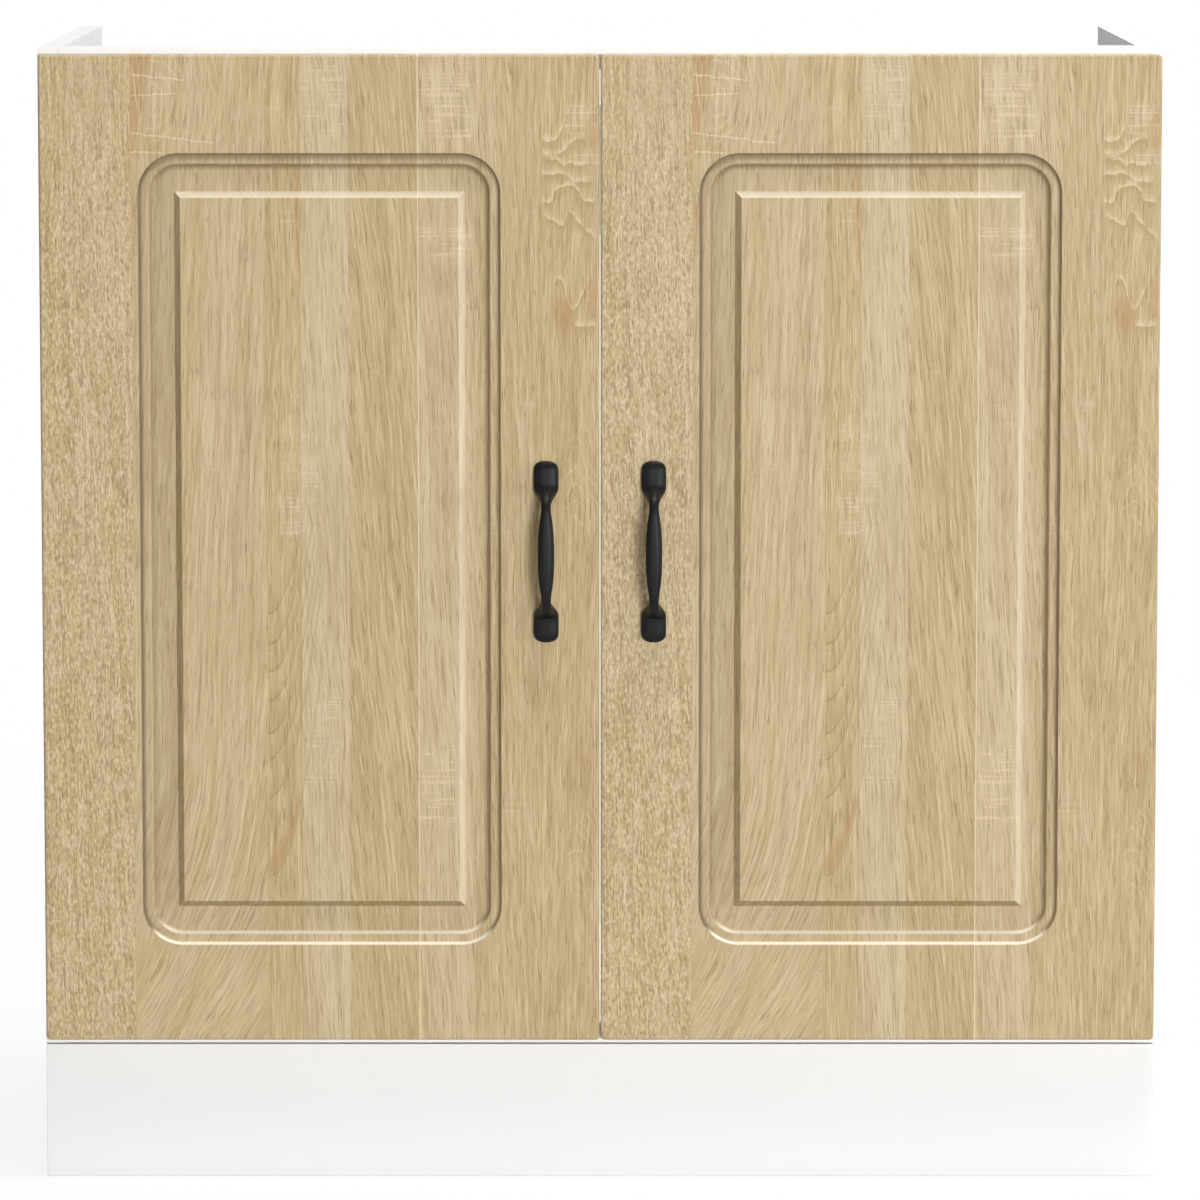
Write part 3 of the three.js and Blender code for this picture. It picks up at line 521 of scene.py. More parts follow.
def drawKnot(wood):
    tree, knot = wood.tree, oak["knot"]
    sideways = minus(tree, wood.fromLeft, knot["place"][0])
    down = times(tree, minus(tree, wood.fromTop, knot["place"][1]), knot["flatness"])
    away = vectorCalc(tree, "LENGTH", addNode(
        tree, "ShaderNodeCombineXYZ", {"X": sideways, "Z": down}).outputs[0])
    ring = calc(tree, "FRACT", timesPlus(
        tree, wood.wander, knot["wander"], times(tree, away, 1 / knot["spacing"])))
    place = patch(wood, knot["across"], knot["down"])
    paint(wood, times(tree, window(tree, ring, *knot["ring"]), place), "knot", knot["strength"])


def drawArcs(wood):
    tree, arcs = wood.tree, oak["arcs"]
    swept = calc(tree, "DIVIDE", minus(tree, wood.fromLeft, arcs["left"]), arcs["spread"])
    foot = plus(tree, wood.fromTop, times(tree, swept, swept))
    foot = timesPlus(tree, wood.flutter, arcs["flutter"], foot)
    wood.foot = timesPlus(tree, wood.sway, arcs["sway"], foot)
    place = patch(wood, arcs["across"], arcs["down"])
    for arcFoot in arcs["feet"]:
        above = minus(tree, arcFoot, wood.foot)
        golden = times(tree, *[band(tree, above, *fade) for fade in arcs["golden"]])
        paint(wood, times(tree, golden, place), "golden", arcs["goldenStrength"])
        paint(wood, times(tree, window(tree, above, *arcs["line"]), place), "dark", arcs["lineStrength"])


def drawHeartwood(wood):
    tree, heart = wood.tree, oak["heartwood"]
    edge = timesPlus(tree, wood.fromTop, heart["wedgeFall"], timesPlus(
        tree, wood.wander, heart["wedgeWander"], heart["wedgeEdge"]))
    wedge = times(tree, band(tree, minus(tree, edge, wood.fromLeft), *heart["wedgeSoft"]),
                  calc(tree, "GREATER_THAN", wood.fromLeft, oak["planks"][1][0]),
                  band(tree, wood.fromTop, *heart["wedgeDown"]))
    spots = times(tree, boxes(wood, heart["spots"], heart["soft"], heart["sideways"]),
                  band(tree, wood.wander, *heart["spotFade"]))
    tongue = times(tree, window(tree, wood.foot, *heart["tongueSweep"]),
                   patch(wood, heart["tongueAcross"], heart["tongueDown"]))
    spots = largest(tree, spots, times(tree, tongue, heart["tongueStrength"]))
    lined = band(tree, wood.line, *heart["lineFade"])
    paint(wood, times(tree, largest(tree, wedge, spots), lined), "heart")

    # the thin pale line down the wedge
    rim = minus(tree, wood.fromLeft, timesPlus(tree, wood.fromTop, heart["rimFall"], heart["rimEdge"]))
    rimPlace = times(tree, window(tree, rim, *heart["rim"]), window(tree, wood.fromTop, *heart["rimDown"]))
    paint(wood, rimPlace, "pale", heart["rimStrength"])


def drawScratches(wood):
    tree, scratches = wood.tree, oak["scratches"]
    for left, right, top, fall in scratches["lines"]:
        start = timesPlus(tree, wood.flutter, scratches["flutter"], top)
        level = minus(tree, wood.fromTop, timesPlus(tree, minus(tree, wood.fromLeft, left), fall, start))
        scratch = times(tree, window(tree, level, *scratches["width"]),
                        window(tree, wood.fromLeft, left, right, scratches["ends"]),
                        band(tree, wood.line, *scratches["lineFade"]))
        paint(wood, scratch, "scratch")


def drawPoresAndJoints(wood):
    paint(wood, wood.pores, "pore", oak["pores"]["strength"])
    for edges, strength, colourName in oak["joints"]:
        paint(wood, window(wood.tree, wood.fromLeft, *edges), colourName, strength)


def bySide(wood, onEnd, left, right, top, foot):
    # one of four strengths, by the side of the door that a point belongs to
    tree = wood.tree
    sideways = timesPlus(tree, wood.onRight, right - left, left)
    upright = timesPlus(tree, wood.onTop, top - foot, foot)
    return timesPlus(tree, onEnd, minus(tree, upright, sideways), sideways)


def shadeFrame(wood):
    # how far inside the routed frame's rounded edge a point lies, and whether it belongs to an end
    tree, shades, radius = wood.tree, oak["frame"], oak["frameRadius"]
    wood.onTop = calc(tree, "GREATER_THAN", wood.up, 0)
    wood.onRight = calc(tree, "GREATER_THAN", wood.across, 0)
    wood.halfX, wood.halfZ = oak["width"] / 2 - oak["sideMargin"], oak["height"] / 2 - oak["endMargin"]
    flat = vectorCalc(tree, "ABSOLUTE", scaled(tree, wood.place, 1, 0, 1))
    corner = vectorCalc(tree, "SUBTRACT", flat, (wood.halfX - radius, 0, wood.halfZ - radius))
    outside = vectorCalc(tree, "LENGTH", vectorCalc(tree, "MAXIMUM", corner))
    axes = addNode(tree, "ShaderNodeSeparateXYZ", {0: corner})
    inside = calc(tree, "MINIMUM", largest(tree, axes.outputs["X"], axes.outputs["Z"]), 0)
    inset = minus(tree, radius, plus(tree, outside, inside))
    onEnd = band(tree, minus(tree, axes.outputs["Z"], axes.outputs["X"]), *shades["corner"])

    greyed = times(tree, window(tree, wood.fromLeft, *shades["grey"]["across"]),
                   band(tree, inset, *shades["grey"]["fade"]))
    paint(wood, greyed, "groove")
    gone = band(tree, onEnd, 0, 1, *shades["outerGone"], smooth=False)
    full = band(tree, onEnd, 0, 1, *shades["outerFull"], smooth=False)
    outer = times(tree, band(tree, inset, *shades["outerStart"]), band(tree, inset, gone, full))
    inner = times(tree, band(tree, inset, *shades["innerStart"]), band(tree, inset, *shades["innerEnd"]))
    # painted shade along the frame's outer and inner steps on the left, right and top, none at the foot,
    # which faces the light
    outerPaintedShade = times(tree, outer, bySide(wood, onEnd, *shades["outerPaintedShade"]))
    innerPaintedShade = times(tree, inner, bySide(wood, onEnd, *shades["innerPaintedShade"]))
    paint(wood, largest(tree, outerPaintedShade, innerPaintedShade), "paintedShade")
    # painted highlight along the outer and inner steps at the foot, which face up to the light
    outer, inner = window(tree, inset, *shades["outerLine"]), window(tree, inset, *shades["innerLine"])
    outerLit = times(tree, outer, bySide(wood, onEnd, *shades["outerLit"]))
    innerLit = times(tree, inner, bySide(wood, onEnd, *shades["innerLit"]))
    paint(wood, largest(tree, outerLit, innerLit), "lit")


def shadePanel(wood):
    # painted highlight on the raised panel's right and top slopes, painted shade on its left and foot
    # slopes
    tree, shades = wood.tree, oak["frame"]
    pastSide = minus(tree, calc(tree, "ABSOLUTE", wood.across), wood.halfX - oak["panelSideInset"])
    pastEnd = minus(tree, calc(tree, "ABSOLUTE", wood.up), wood.halfZ - oak["panelEndInset"])
    slope = window(tree, times(tree, largest(tree, pastSide, pastEnd), -1), *shades["slope"])
    onEnd = calc(tree, "GREATER_THAN", pastEnd, pastSide)
    paint(wood, times(tree, slope, bySide(wood, onEnd, *shades["slopeLit"])), "lit")
    paint(wood, times(tree, slope, bySide(wood, onEnd, *shades["slopeDim"])), "paintedShade")


def buildOakGroup():
    # the oak print, with painted shade and highlight on the routed frame and the panel's slopes
    tree, source, result = newGroup("oakPrintAndPaintedLight", [("Vector", vectorKind, None)], detailOutputs)
    wood = startWood(tree, source.outputs["Vector"])
    for draw in (layPlanks, bendGrain, drawGrain, drawSawMarks, drawFlames, drawWaves, drawKnot, drawArcs,
                 drawHeartwood, drawScratches, drawPoresAndJoints, shadeFrame, shadePanel):
        draw(wood)
    relief, rough = oak["relief"], oak["roughness"]
    flecks = times(tree, minus(tree, wood.fleckPale, wood.fleckDark), relief["flecks"])
    raised = timesPlus(tree, wood.line, relief["line"], flecks)
    height = minus(tree, raised, times(tree, wood.pores, relief["pores"]))
    roughness = plus(tree, timesPlus(tree, wood.line, rough["line"], rough["base"]),
                     times(tree, wood.pores, rough["pores"]))
    return finishGroup(tree, result, wood.colour, roughness, height)


# wear and dust for painted, plated and moulded pieces

surface = {
    "speck": (2, 0.6),          # detail and roughness of the fine noise
    "cloud": (1 / 46, 3, 0.55),             # scale, detail and roughness of the broad noise
    "patch": (0.5, 3, 0.6),
    "cloudTint": (0.3, 0.7, 0.0, 0.1),
    "edgeRadius": 0.0006,
    "edgeFade": (0.995, 0.9),
    "patchFade": (0.35, 0.65),
    "speckRough": 0.08,
}


def buildSurfaceGroup():
    tree, source, result = newGroup(
        "surfaceDetail",
        [("Vector", vectorKind, None), ("Base", colourKind, (0.8, 0.8, 0.8, 1)),
         ("Worn", colourKind, (0.9, 0.9, 0.9, 1)), ("Grain Size", floatKind, 0.4),
         ("Wear", floatKind, 0.3), ("Roughness", floatKind, 0.4), ("Spread", floatKind, 0.1)],
        detailOutputs)
    given = source.outputs
    place = inMillimetres(tree, given["Vector"])
    speck = noise(tree, place, calc(tree, "DIVIDE", 1.0, given["Grain Size"]), *surface["speck"])
    cloud = noise(tree, place, *surface["cloud"])
    normal = addNode(tree, "ShaderNodeNewGeometry").outputs["Normal"]
    rounded = addNode(tree, "ShaderNodeBevel", {"Radius": surface["edgeRadius"]}, samples=6)
    facing = vectorCalc(tree, "DOT_PRODUCT", rounded.outputs[0], normal)
    patches = band(tree, noise(tree, place, *surface["patch"]), *surface["patchFade"])
    worn = times(tree, band(tree, facing, *surface["edgeFade"]), patches, given["Wear"])
    tint = blendColour(tree, band(tree, cloud, *surface["cloudTint"]), given["Base"], given["Worn"])
    colour = blendColour(tree, worn, tint, given["Worn"])
    drift = times(tree, minus(tree, cloud, 0.5), given["Spread"])
    rough = plus(tree, given["Roughness"], drift)
    rough = timesPlus(tree, minus(tree, speck, 0.5), surface["speckRough"], rough)
    return finishGroup(tree, result, colour, rough, speck)


oakGroup = buildOakGroup()
surfaceGroup = buildSurfaceGroup()


def makeOak(name, centre):
    material, tree, shader, place = newMaterial(name)
    moved = addNode(tree, "ShaderNodeMapping", {"Vector": place, "Location": (-centre.x, 0, -centre.z)})
    foil = addNode(tree, "ShaderNodeGroup", {"Vector": moved.outputs[0]}, node_tree=oakGroup).outputs
    wire(tree, shader, foil["Color"], foil["Roughness"], foil["Height"], 0.35, 0.00015)
    shader.inputs["Specular IOR Level"].default_value = 0.4
    return material


def makeSurface(name, base, worn, roughness, metallic=0.0, grain=0.4, wear=0.3, spread=0.1,
                bump=0.1, depth=0.00005, specular=0.5):
    material, tree, shader, place = newMaterial(name)
    detail = addNode(tree, "ShaderNodeGroup", {
        "Vector": place, "Base": base, "Worn": worn, "Grain Size": grain, "Wear": wear,
        "Roughness": roughness, "Spread": spread,
    }, node_tree=surfaceGroup).outputs
    wire(tree, shader, detail["Color"], detail["Roughness"], detail["Height"], bump, depth)
    shader.inputs["Metallic"].default_value = metallic
    shader.inputs["Specular IOR Level"].default_value = specular
    return material


def makeChipboard(name, light, mid, dark):
    material, tree, shader, place = newMaterial(name)
    place = inMillimetres(tree, place)
    chips = addNode(tree, "ShaderNodeTexVoronoi", {"Vector": place, "Scale": 0.55, "Randomness": 1.0})
    chance = addNode(tree, "ShaderNodeSeparateXYZ", {0: chips.outputs["Color"]}).outputs["X"]
    tone = ramp(tree, chance, [(0.0, dark), (0.45, mid), (1.0, light)])
    dust = noise(tree, place, 3.5, 3, 0.6)
    colour = blendColour(tree, band(tree, dust, 0.3, 0.7, 0.0, 0.5), tone, mid)
    roughness = band(tree, dust, 0.2, 0.8, 0.75, 0.95)
    wire(tree, shader, colour, roughness, chips.outputs["Distance"], 0.4, 0.0003)
    return material


def middleOf(nodeName):
    low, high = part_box(nodeName)
    return (low + high) / 2


oakMaterial = {name: makeOak("oak_foil_" + name, middleOf("door_" + name)) for name in sides}
whiteMaterial = makeSurface("white_board", srgb(249, 249, 248), srgb(252, 252, 251), 0.46,
                            grain=0.55, wear=0.4, spread=0.1, bump=0.16, depth=0.00006)
chipMaterial = makeChipboard("board_core", srgb(214, 190, 148), srgb(186, 157, 112), srgb(140, 110, 72))
fibreMaterial = makeChipboard("fibreboard_core", srgb(186, 158, 118), srgb(176, 148, 108),
                              srgb(160, 132, 94))
blackMaterial = makeSurface("black_lacquer", srgb(12, 13, 15), srgb(30, 31, 33), 0.46,
                            grain=0.22, wear=0.3, spread=0.14, bump=0.12, depth=0.00004, specular=0.2)
nickelMaterial = makeSurface("nickel_plate", srgb(205, 203, 198), srgb(232, 231, 228), 0.24,
                             metallic=1.0, grain=0.35, wear=0.6, spread=0.16, bump=0.05, depth=0.00003)
zincMaterial = makeSurface("zinc_plate", srgb(190, 192, 194), srgb(220, 220, 218), 0.36,
                           metallic=1.0, grain=0.5, wear=0.5, spread=0.22, bump=0.08, depth=0.00003)
bumperMaterial = makeSurface("clear_bumper", srgb(214, 214, 208), srgb(228, 228, 224), 0.35,
                             grain=0.3, wear=0.2, spread=0.08, bump=0.05, depth=0.00003)
print("materials made")


# meshes and objects

def addObject(bm, name):
    mesh = bpy.data.meshes.new(name)
    bm.to_mesh(mesh)
    bm.free()
    made = bpy.data.objects.new(name, mesh)
    scene.collection.objects.link(made)
    return made


def bodyOf(nodeName):
    return frame["nodes"][nodeName]["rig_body"]


def finishObject(bm, name, body, materials, nodes, smoothAngle=38.0):
    limit = math.radians(smoothAngle)
    for face in bm.faces:
        face.smooth = True
    for edge in bm.edges:
        edge.smooth = len(edge.link_faces) == 2 and edge.calc_face_angle(0.0) < limit
    piece = addObject(bm, name)
    for material in materials:
        piece.data.materials.append(material)
    modifier = piece.modifiers.new("weighted", "WEIGHTED_NORMAL")
    modifier.keep_sharp = True
    modifier.weight = 80
    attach(piece, body)
    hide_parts(*nodes)
    return piece


def mergedCopy(nodeName, mergeWithin=2e-6, flatWithin=0.8):
    bm = bmesh.new()
    bm.from_mesh(frame["nodes"][nodeName].data)
    bmesh.ops.remove_doubles(bm, verts=bm.verts, dist=mergeWithin)
    bmesh.ops.dissolve_limit(bm, angle_limit=math.radians(flatWithin), verts=bm.verts, edges=bm.edges)
    return bm


def bevel(bm, geom, width, segments, affect="EDGES", clamp=False):
    return bmesh.ops.bevel(bm, geom=geom, offset=width, offset_type="OFFSET", affect=affect,
                           segments=segments, profile=0.5, clamp_overlap=clamp, material=-1)


def easeEdges(bm, width, angle=35.0, segments=2):
    limit = math.radians(angle)
    edges = [e for e in bm.edges if len(e.link_faces) == 2 and e.calc_face_angle(0.0) > limit]
    bevel(bm, edges, width, segments, clamp=True)


def extrudeLoop(bm, edges):
    # the new corners and the new loop
    grown = bmesh.ops.extrude_edge_only(bm, edges=edges)["geom"]
    verts = [g for g in grown if isinstance(g, bmesh.types.BMVert)]
    loop = [g for g in grown if isinstance(g, bmesh.types.BMEdge) and all(v in verts for v in g.verts)]
    return verts, loop


def insetFace(bm, face, thickness, depth):
    bmesh.ops.inset_region(bm, faces=[face], thickness=thickness * mm, depth=depth * mm,
                           use_boundary=True, use_even_offset=True)


def closeSeams(bm):
    bmesh.ops.remove_doubles(bm, verts=bm.verts, dist=1e-6)
    bmesh.ops.recalc_face_normals(bm, faces=bm.faces)


# carcass boards

boards = {
    "nodes": ("side_panel_left", "side_panel_right", "bottom_panel", "front_rail", "rear_rail",
              "plinth_board"),
    "edgeRound": 0.5 * mm,
    "rawBack": ("side_panel_left", "side_panel_right", "bottom_panel"),     # back edges left unbanded
    "rawFoot": ("side_panel_left", "side_panel_right"),
}


def makeBoards():
    for nodeName in boards["nodes"]:
        bm = mergedCopy(nodeName)
        easeEdges(bm, boards["edgeRound"])
        low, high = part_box(nodeName)
        for face in bm.faces:
            centre = face.calc_center_median()
            isBack = nodeName in boards["rawBack"] and face.normal.y > 0.9 and centre.y > high.y - nearly
            isFoot = nodeName in boards["rawFoot"] and face.normal.z < -0.9 and centre.z < low.z + nearly
            face.material_index = 1 if isBack or isFoot else 0
        finishObject(bm, nodeName + "_finished", bodyOf(nodeName),
                     [whiteMaterial, chipMaterial], [nodeName])


makeBoards()
print("boards made")


# doors

doors = {
    "cornerRadius": 3.0 * mm,
    "cornerSegments": 5,
    "frontRound": 1.9 * mm,
    "frontSegments": 6,
    "backEase": 0.5 * mm,
    "frameSegments": 14,
    # the routed frame: distance in from its outer edge, and depth, millimetres
    "frameProfile": (
        (0, 0), (0.25, 0.06), (0.55, 0.4), (1.0, 1.15), (1.45, 1.95), (1.75, 2.45), (2.1, 2.72),
        (2.7, 2.88), (3.8, 2.9), (6.9, 2.86), (7.3, 2.88), (7.7, 3.02), (8.05, 3.35), (8.6, 4.1),
        (9.1, 4.8), (9.5, 5.28), (9.9, 5.55), (10.5, 5.74), (11.3, 5.8),
    ),
    "panelSteps": ((0.35, 0.15), (4.1, 5.0), (0.25, 0.2), (0.5, 0.05)),     # inwards and up, millimetres
    "boreRadius": 17.8 * mm,
    "boreDepth": 12.8 * mm,
    "boreFromEdge": 21.5 * mm,
    "boreLip": 0.2 * mm,        # nothing this close to the back counts as inside a bore
    "boreSegments": 64,
    "smoothAngle": 24,
}


def facingRectangle(bm, centre, width, height, y, radius=0.0, segments=1):
    # a flat rectangle that faces the viewer, its corners rounded where a radius is given
    verts = bmesh.ops.create_grid(bm, x_segments=1, y_segments=1, size=0.5)["verts"]
    bmesh.ops.scale(bm, vec=(width, height, 1), verts=verts)
    bmesh.ops.rotate(bm, cent=(0, 0, 0), matrix=Matrix.Rotation(math.pi / 2, 3, "X"), verts=verts)
    bmesh.ops.translate(bm, vec=(centre.x, y, centre.z), verts=verts)
    if radius > 0:
        verts = bevel(bm, verts, radius, segments, affect="VERTICES")["verts"]
    corners = set(verts)
    return next(f for f in bm.faces if corners.issuperset(f.verts))


def openFace(bm, face):
    # takes a face away and keeps its edges
    edges = list(face.edges)
    bmesh.ops.delete(bm, geom=[face], context="FACES_ONLY")
    return edges


def fillBetween(bm, outer, face):
    # the flat stretch between an outer loop and the face inside it
    edges = outer + list(face.edges)
    bmesh.ops.triangle_fill(bm, use_beauty=True, use_dissolve=False, edges=edges)


def makeDoorBoard(bm, centre, low, high):
    # the board with its rounded edges, open at the front; gives the opening's edges
    front = facingRectangle(bm, centre, high.x - low.x, high.z - low.z, low.y,
                            doors["cornerRadius"], doors["cornerSegments"])
    backVerts, backEdges = extrudeLoop(bm, list(front.edges))
    bmesh.ops.translate(bm, vec=(0, high.y - low.y, 0), verts=backVerts)
    bmesh.ops.contextual_create(bm, geom=backEdges)
    bevel(bm, backEdges, doors["backEase"], 2)
    frontEdges = [e for e in bm.edges if all(abs(v.co.y - low.y) < 1e-6 for v in e.verts)]
    bevel(bm, frontEdges, doors["frontRound"], doors["frontSegments"])

    def frontFirst(face):
        return round(face.calc_center_median().y, 6), -face.calc_area()

    return openFace(bm, min((f for f in bm.faces if len(f.verts) > 4), key=frontFirst))


def routFrame(bm, centre, width, height, y, outer):
    # step by step inwards; each flat stretch is filled before the next inset
    face = facingRectangle(bm, centre, width, height, y, oak["frameRadius"] * mm, doors["frameSegments"])
    fillBetween(bm, outer, face)
    for (inset, depth), (nextInset, nextDepth) in zip(doors["frameProfile"], doors["frameProfile"][1:]):
        insetFace(bm, face, nextInset - inset, depth - nextDepth)
    return face.calc_center_median().y, openFace(bm, face)


def raisePanel(bm, centre, width, height, y, outer):
    panel = facingRectangle(bm, centre, width, height, y)
    fillBetween(bm, outer, panel)
    for step, rise in doors["panelSteps"]:
        insetFace(bm, panel, step, rise)


def cutBores(blank, boreX, backY, cupHeights):
    # the hollows for the hinge cups in the back
    cutters = bmesh.new()
    for height in cupHeights:
        place = Matrix.Translation((boreX, backY, height)) @ Matrix.Rotation(math.pi / 2, 4, "X")
        bmesh.ops.create_cone(cutters, cap_ends=True, segments=doors["boreSegments"],
                              radius1=doors["boreRadius"], radius2=doors["boreRadius"],
                              depth=2 * doors["boreDepth"], matrix=place)
    cutter = addObject(cutters, "bores")
    boolean = blank.modifiers.new("bores", "BOOLEAN")
    boolean.operation = "DIFFERENCE"
    boolean.solver = "EXACT"
    boolean.object = cutter
    bpy.context.view_layer.update()
    cut = bpy.data.meshes.new_from_object(blank.evaluated_get(bpy.context.evaluated_depsgraph_get()))
    for temporary in (blank, cutter):
        bpy.data.objects.remove(temporary)
    bm = bmesh.new()
    bm.from_mesh(cut)
    return bm


def makeDoor(sideName):
    nodeName = "door_" + sideName
    low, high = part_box(nodeName)
    centre = middleOf(nodeName)
    width = high.x - low.x - 2 * oak["sideMargin"] * mm
    height = high.z - low.z - 2 * oak["endMargin"] * mm
    bm = bmesh.new()
    opening = makeDoorBoard(bm, centre, low, high)
    floorY, frameInner = routFrame(bm, centre, width, height, low.y, opening)
    raisePanel(bm, centre, width - 2 * oak["panelSideInset"] * mm, height - 2 * oak["panelEndInset"] * mm,
               floorY, frameInner)
    closeSeams(bm)

    edgeX = low.x if sides[sideName] < 0 else high.x
    boreX = edgeX - sides[sideName] * doors["boreFromEdge"]
    cupHeights = [middleOf("hinge_cup_%s_%s" % (sideName, level)).z for level in levels]
    bm = cutBores(addObject(bm, "door_blank"), boreX, high.y, cupHeights)
    for face in bm.faces:
        middle = face.calc_center_median()
        isDeep = high.y - doors["boreDepth"] - nearly < middle.y < high.y - doors["boreLip"]
        isBeside = abs(middle.x - boreX) < doors["boreRadius"] and any(
            abs(middle.z - cupHeight) < doors["boreRadius"] for cupHeight in cupHeights)
        isBack = face.normal.y > 0.9 and middle.y > high.y - nearly
        face.material_index = 2 if isDeep and isBeside else 1 if isBack else 0
    materials = [oakMaterial[sideName], whiteMaterial, fibreMaterial]
    return finishObject(bm, nodeName + "_finished", bodyOf(nodeName), materials, [nodeName],
                        doors["smoothAngle"])


for sideName in sides:
    door = makeDoor(sideName)
    print("door made:", sideName, len(door.data.polygons), "faces")


# handles

handles = {
    # distance from the middle, height of the section, width, thickness, millimetres
    "stations": (
        (64.5, 1.3, 6.4, 1.8), (64.2, 1.5, 9.6, 2.8), (63.2, 1.8, 13.2, 3.8), (61.6, 2.1, 15.9, 4.6),
        (58.5, 2.5, 17.5, 5.6), (48.0, 2.9, 17.7, 6.4), (44.6, 4.2, 16.9, 8.0), (41.2, 9.4, 11.6, 9.8),
        (38.4, 15.4, 8.2, 8.8), (35.4, 19.4, 7.0, 7.2), (30.0, 21.8, 7.2, 6.2), (22.0, 23.0, 9.6, 5.8),
        (12.0, 23.8, 11.3, 5.8), (0.0, 24.0, 11.7, 5.8),
    ),
    "stepsBetween": 4,
    "cornerShare": 0.4,
    "cornerSteps": 6,
    "smoothAngle": 50,
}


def smoothStations(stations, steps):
    # a soft curve through the stations, each column by itself
    whole = [(-a, *rest) for a, *rest in stations] + [tuple(s) for s in reversed(stations[:-1])]
    ends = [whole[0], *whole, whole[-1]]
    out = []
    for i in range(1, len(ends) - 2):
        for k in range(steps):
            t = k / steps
            p0, p1, p2, p3 = ends[i - 1:i + 3]
            out.append(tuple(0.5 * ((2 * b) + (c - a) * t + (2 * a - 5 * b + 4 * c - d) * t * t
                                    + (3 * b - a - 3 * c + d) * t ** 3)
                             for a, b, c, d in zip(p0, p1, p2, p3)))
    return out + [whole[-1]]


def sectionPlaces(centre, frontY):
    # where each section stands, how it tilts and how large it is
    stations = smoothStations(handles["stations"], handles["stepsBetween"])
    last = len(stations) - 1
    places = []
    for i, (along, rise, width, thickness) in enumerate(stations):
        before, after = stations[max(i - 1, 0)], stations[min(i + 1, last)]
        tilt = 0.0 if i in (0, last) else math.atan2(after[1] - before[1], after[0] - before[0])
        move = Matrix.Translation((centre.x, frontY - rise * mm, centre.z + along * mm))
        size = Matrix.Diagonal((width * mm, thickness * mm, 1, 1))
        places.append(move @ Matrix.Rotation(tilt, 4, "X") @ size)
    return places


def makeHandle(sideName):
    nodeName = "handle_" + sideName
    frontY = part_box(nodeName)[1].y
    places = sectionPlaces(middleOf(nodeName), frontY)
    bm = bmesh.new()
    made = bmesh.ops.create_grid(bm, x_segments=1, y_segments=1, size=0.5)
    bevel(bm, made["verts"], handles["cornerShare"], handles["cornerSteps"], affect="VERTICES")
    bmesh.ops.transform(bm, matrix=places[0], verts=bm.verts)
    ring = list(bm.edges)
    for before, after in zip(places, places[1:]):
        verts, ring = extrudeLoop(bm, ring)
        bmesh.ops.transform(bm, matrix=after @ before.inverted(), verts=verts)
    bmesh.ops.contextual_create(bm, geom=ring)
    bmesh.ops.bisect_plane(bm, geom=bm.verts[:] + bm.edges[:] + bm.faces[:], plane_co=(0, frontY, 0),
                           plane_no=(0, 1, 0), clear_outer=True)
    bmesh.ops.holes_fill(bm, edges=[e for e in bm.edges if e.is_boundary], sides=0)
    closeSeams(bm)
    finishObject(bm, nodeName + "_finished", bodyOf(nodeName),
                 [blackMaterial], [nodeName], handles["smoothAngle"])


for sideName in sides:
    makeHandle(sideName)
print("handles made")


# hinges, screws, brackets and bumpers

fittings = (
    # slot, material, and the starts of the nodes' names with their edge radius in millimetres
    ("nickel_plated_steel", nickelMaterial, {
        "hinge_cup": 0.3, "hinge_arm": 0.3, "hinge_plate": 0.25, "hinge_carrier_link": 0.25,
        "hinge_guide_link": 0.25, "cup_screw": 0.2,
    }),
    ("zinc_plated_steel", zincMaterial, {"handle_screw": 0.25, "confirmat": 0.25, "plinth_bracket": 0.4}),
    ("clear_rubber", bumperMaterial, {"bumper": 0.3}),
)


def makeFitting(nodeName, radius, material):
    bm = mergedCopy(nodeName)
    easeEdges(bm, radius * mm)
    finishObject(bm, nodeName + "_finished", bodyOf(nodeName), [material], [nodeName])


def makeFittings():
    for slot, material, starts in fittings:
        for start, radius in starts.items():
            for nodeName in sorted(n for n in frame["nodes"] if n.startswith(start)):
                makeFitting(nodeName, radius, material)


makeFittings()
print("fittings made")


# floor, light and camera

studio = {
    "floorRadius": 14.0,
    "floorSegments": 96,
    "floorDrop": 0.3 * mm,
    "floorTone": srgb(182, 182, 182),       # what the cabinet sees of the floor
    "floorGlow": (0.6, 2.6, 0.88, 1.0),     # plain white grows between these distances, from and to
    "ambient": 0.15,
    "glossy": 0.15,             # what mirror-like rays see of the white on top of that
    "middle": (0, 0, 0.42),
    # direction from the cabinet, distance, size across and up, light on a surface that faces the lamp
    "lamps": {
        "front": ((0.30, -0.95, 0.06), 12.0, (3.4, 1.6), 0.575),
        "above": ((0.16, -0.18, 0.97), 5.0, (2.6, 1.2), 0.72),
        "right": ((0.96, -0.20, 0.03), 8.0, (1.2, 2.4), 0.31),
        "behind": ((0.20, 0.90, 0.40), 6.0, (2.8, 2.8), 0.42),
    },
}


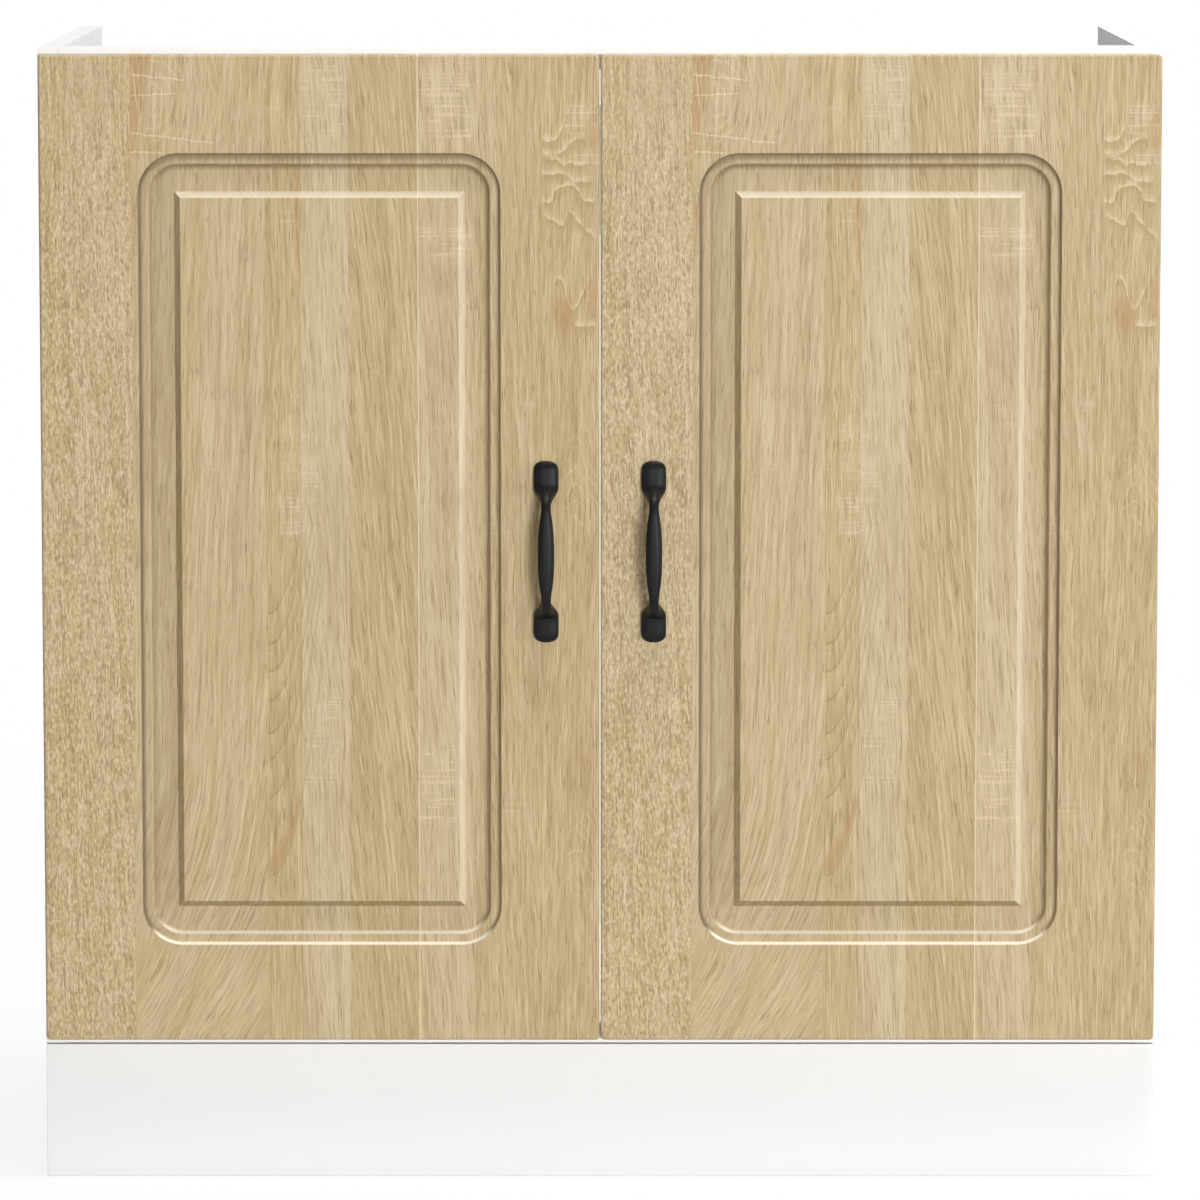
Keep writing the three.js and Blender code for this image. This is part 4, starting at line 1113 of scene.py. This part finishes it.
def makeFloor():
    bm = bmesh.new()
    bmesh.ops.create_circle(bm, cap_ends=True, segments=studio["floorSegments"],
                            radius=studio["floorRadius"])
    material = bpy.data.materials.new("floor")
    material.use_nodes = True
    tree = material.node_tree
    tree.nodes.clear()
    path = addNode(tree, "ShaderNodeLightPath")
    seen = calc(tree, "ADD", path.outputs["Is Camera Ray"], path.outputs["Is Glossy Ray"], clamp=True)
    seen = calc(tree, "ADD", seen, path.outputs["Is Transmission Ray"], clamp=True)
    tone = blendColour(tree, seen, studio["floorTone"], white)
    matt = addNode(tree, "ShaderNodeBsdfDiffuse", {"Color": tone})
    glow = addNode(tree, "ShaderNodeEmission", {"Color": white, "Strength": 1.0})
    away = vectorCalc(tree, "LENGTH", addNode(tree, "ShaderNodeTexCoord").outputs["Object"])
    share = times(tree, seen, band(tree, away, *studio["floorGlow"]))
    mix = addNode(tree, "ShaderNodeMixShader", {0: share, 1: matt.outputs[0], 2: glow.outputs[0]})
    addNode(tree, "ShaderNodeOutputMaterial", {"Surface": mix.outputs[0]})
    floor = addObject(bm, "floor")
    floor.data.materials.append(material)
    floor.location.z = -studio["floorDrop"]


def makeWorld():
    world = bpy.data.worlds.new("studio")
    scene.world = world
    world.use_nodes = True
    tree = world.node_tree
    tree.nodes.clear()
    path = addNode(tree, "ShaderNodeLightPath")
    seen = calc(tree, "ADD", path.outputs["Is Camera Ray"], path.outputs["Is Transmission Ray"], clamp=True)
    strength = timesPlus(tree, seen, 1.0 - studio["ambient"], studio["ambient"])
    strength = plus(tree, strength, times(tree, path.outputs["Is Glossy Ray"], studio["glossy"]))
    background = addNode(tree, "ShaderNodeBackground", {"Color": white, "Strength": strength})
    addNode(tree, "ShaderNodeOutputWorld", {"Surface": background.outputs[0]})


def makeLamps():
    middle = Vector(studio["middle"])
    for name, (direction, distance, (across, up), light) in studio["lamps"].items():
        lamp = bpy.data.lights.new(name, "AREA")
        lamp.shape = "RECTANGLE"
        lamp.size, lamp.size_y = across, up
        lamp.energy = light * (math.pi * distance) ** 2
        holder = bpy.data.objects.new(name, lamp)
        scene.collection.objects.link(holder)
        towards = Vector(direction).normalized()
        holder.location = middle + towards * distance
        holder.rotation_euler = towards.to_track_quat("Z", "Y").to_euler()


camera = {
    "place": (0.0, -5.1885, 1.008),
    "down": 6.72,               # degrees below level
    "lens": 210.15,
    "sensor": 36.0,
}


def makeCamera():
    data = bpy.data.cameras.new("camera")
    data.sensor_width = camera["sensor"]
    data.lens = camera["lens"]
    holder = bpy.data.objects.new("camera", data)
    holder.location = camera["place"]
    holder.rotation_euler = (math.radians(90 - camera["down"]), 0, 0)
    scene.collection.objects.link(holder)
    scene.camera = holder


makeFloor()
makeWorld()
makeLamps()
makeCamera()
scene.view_settings.view_transform = "Standard"
print("studio made")
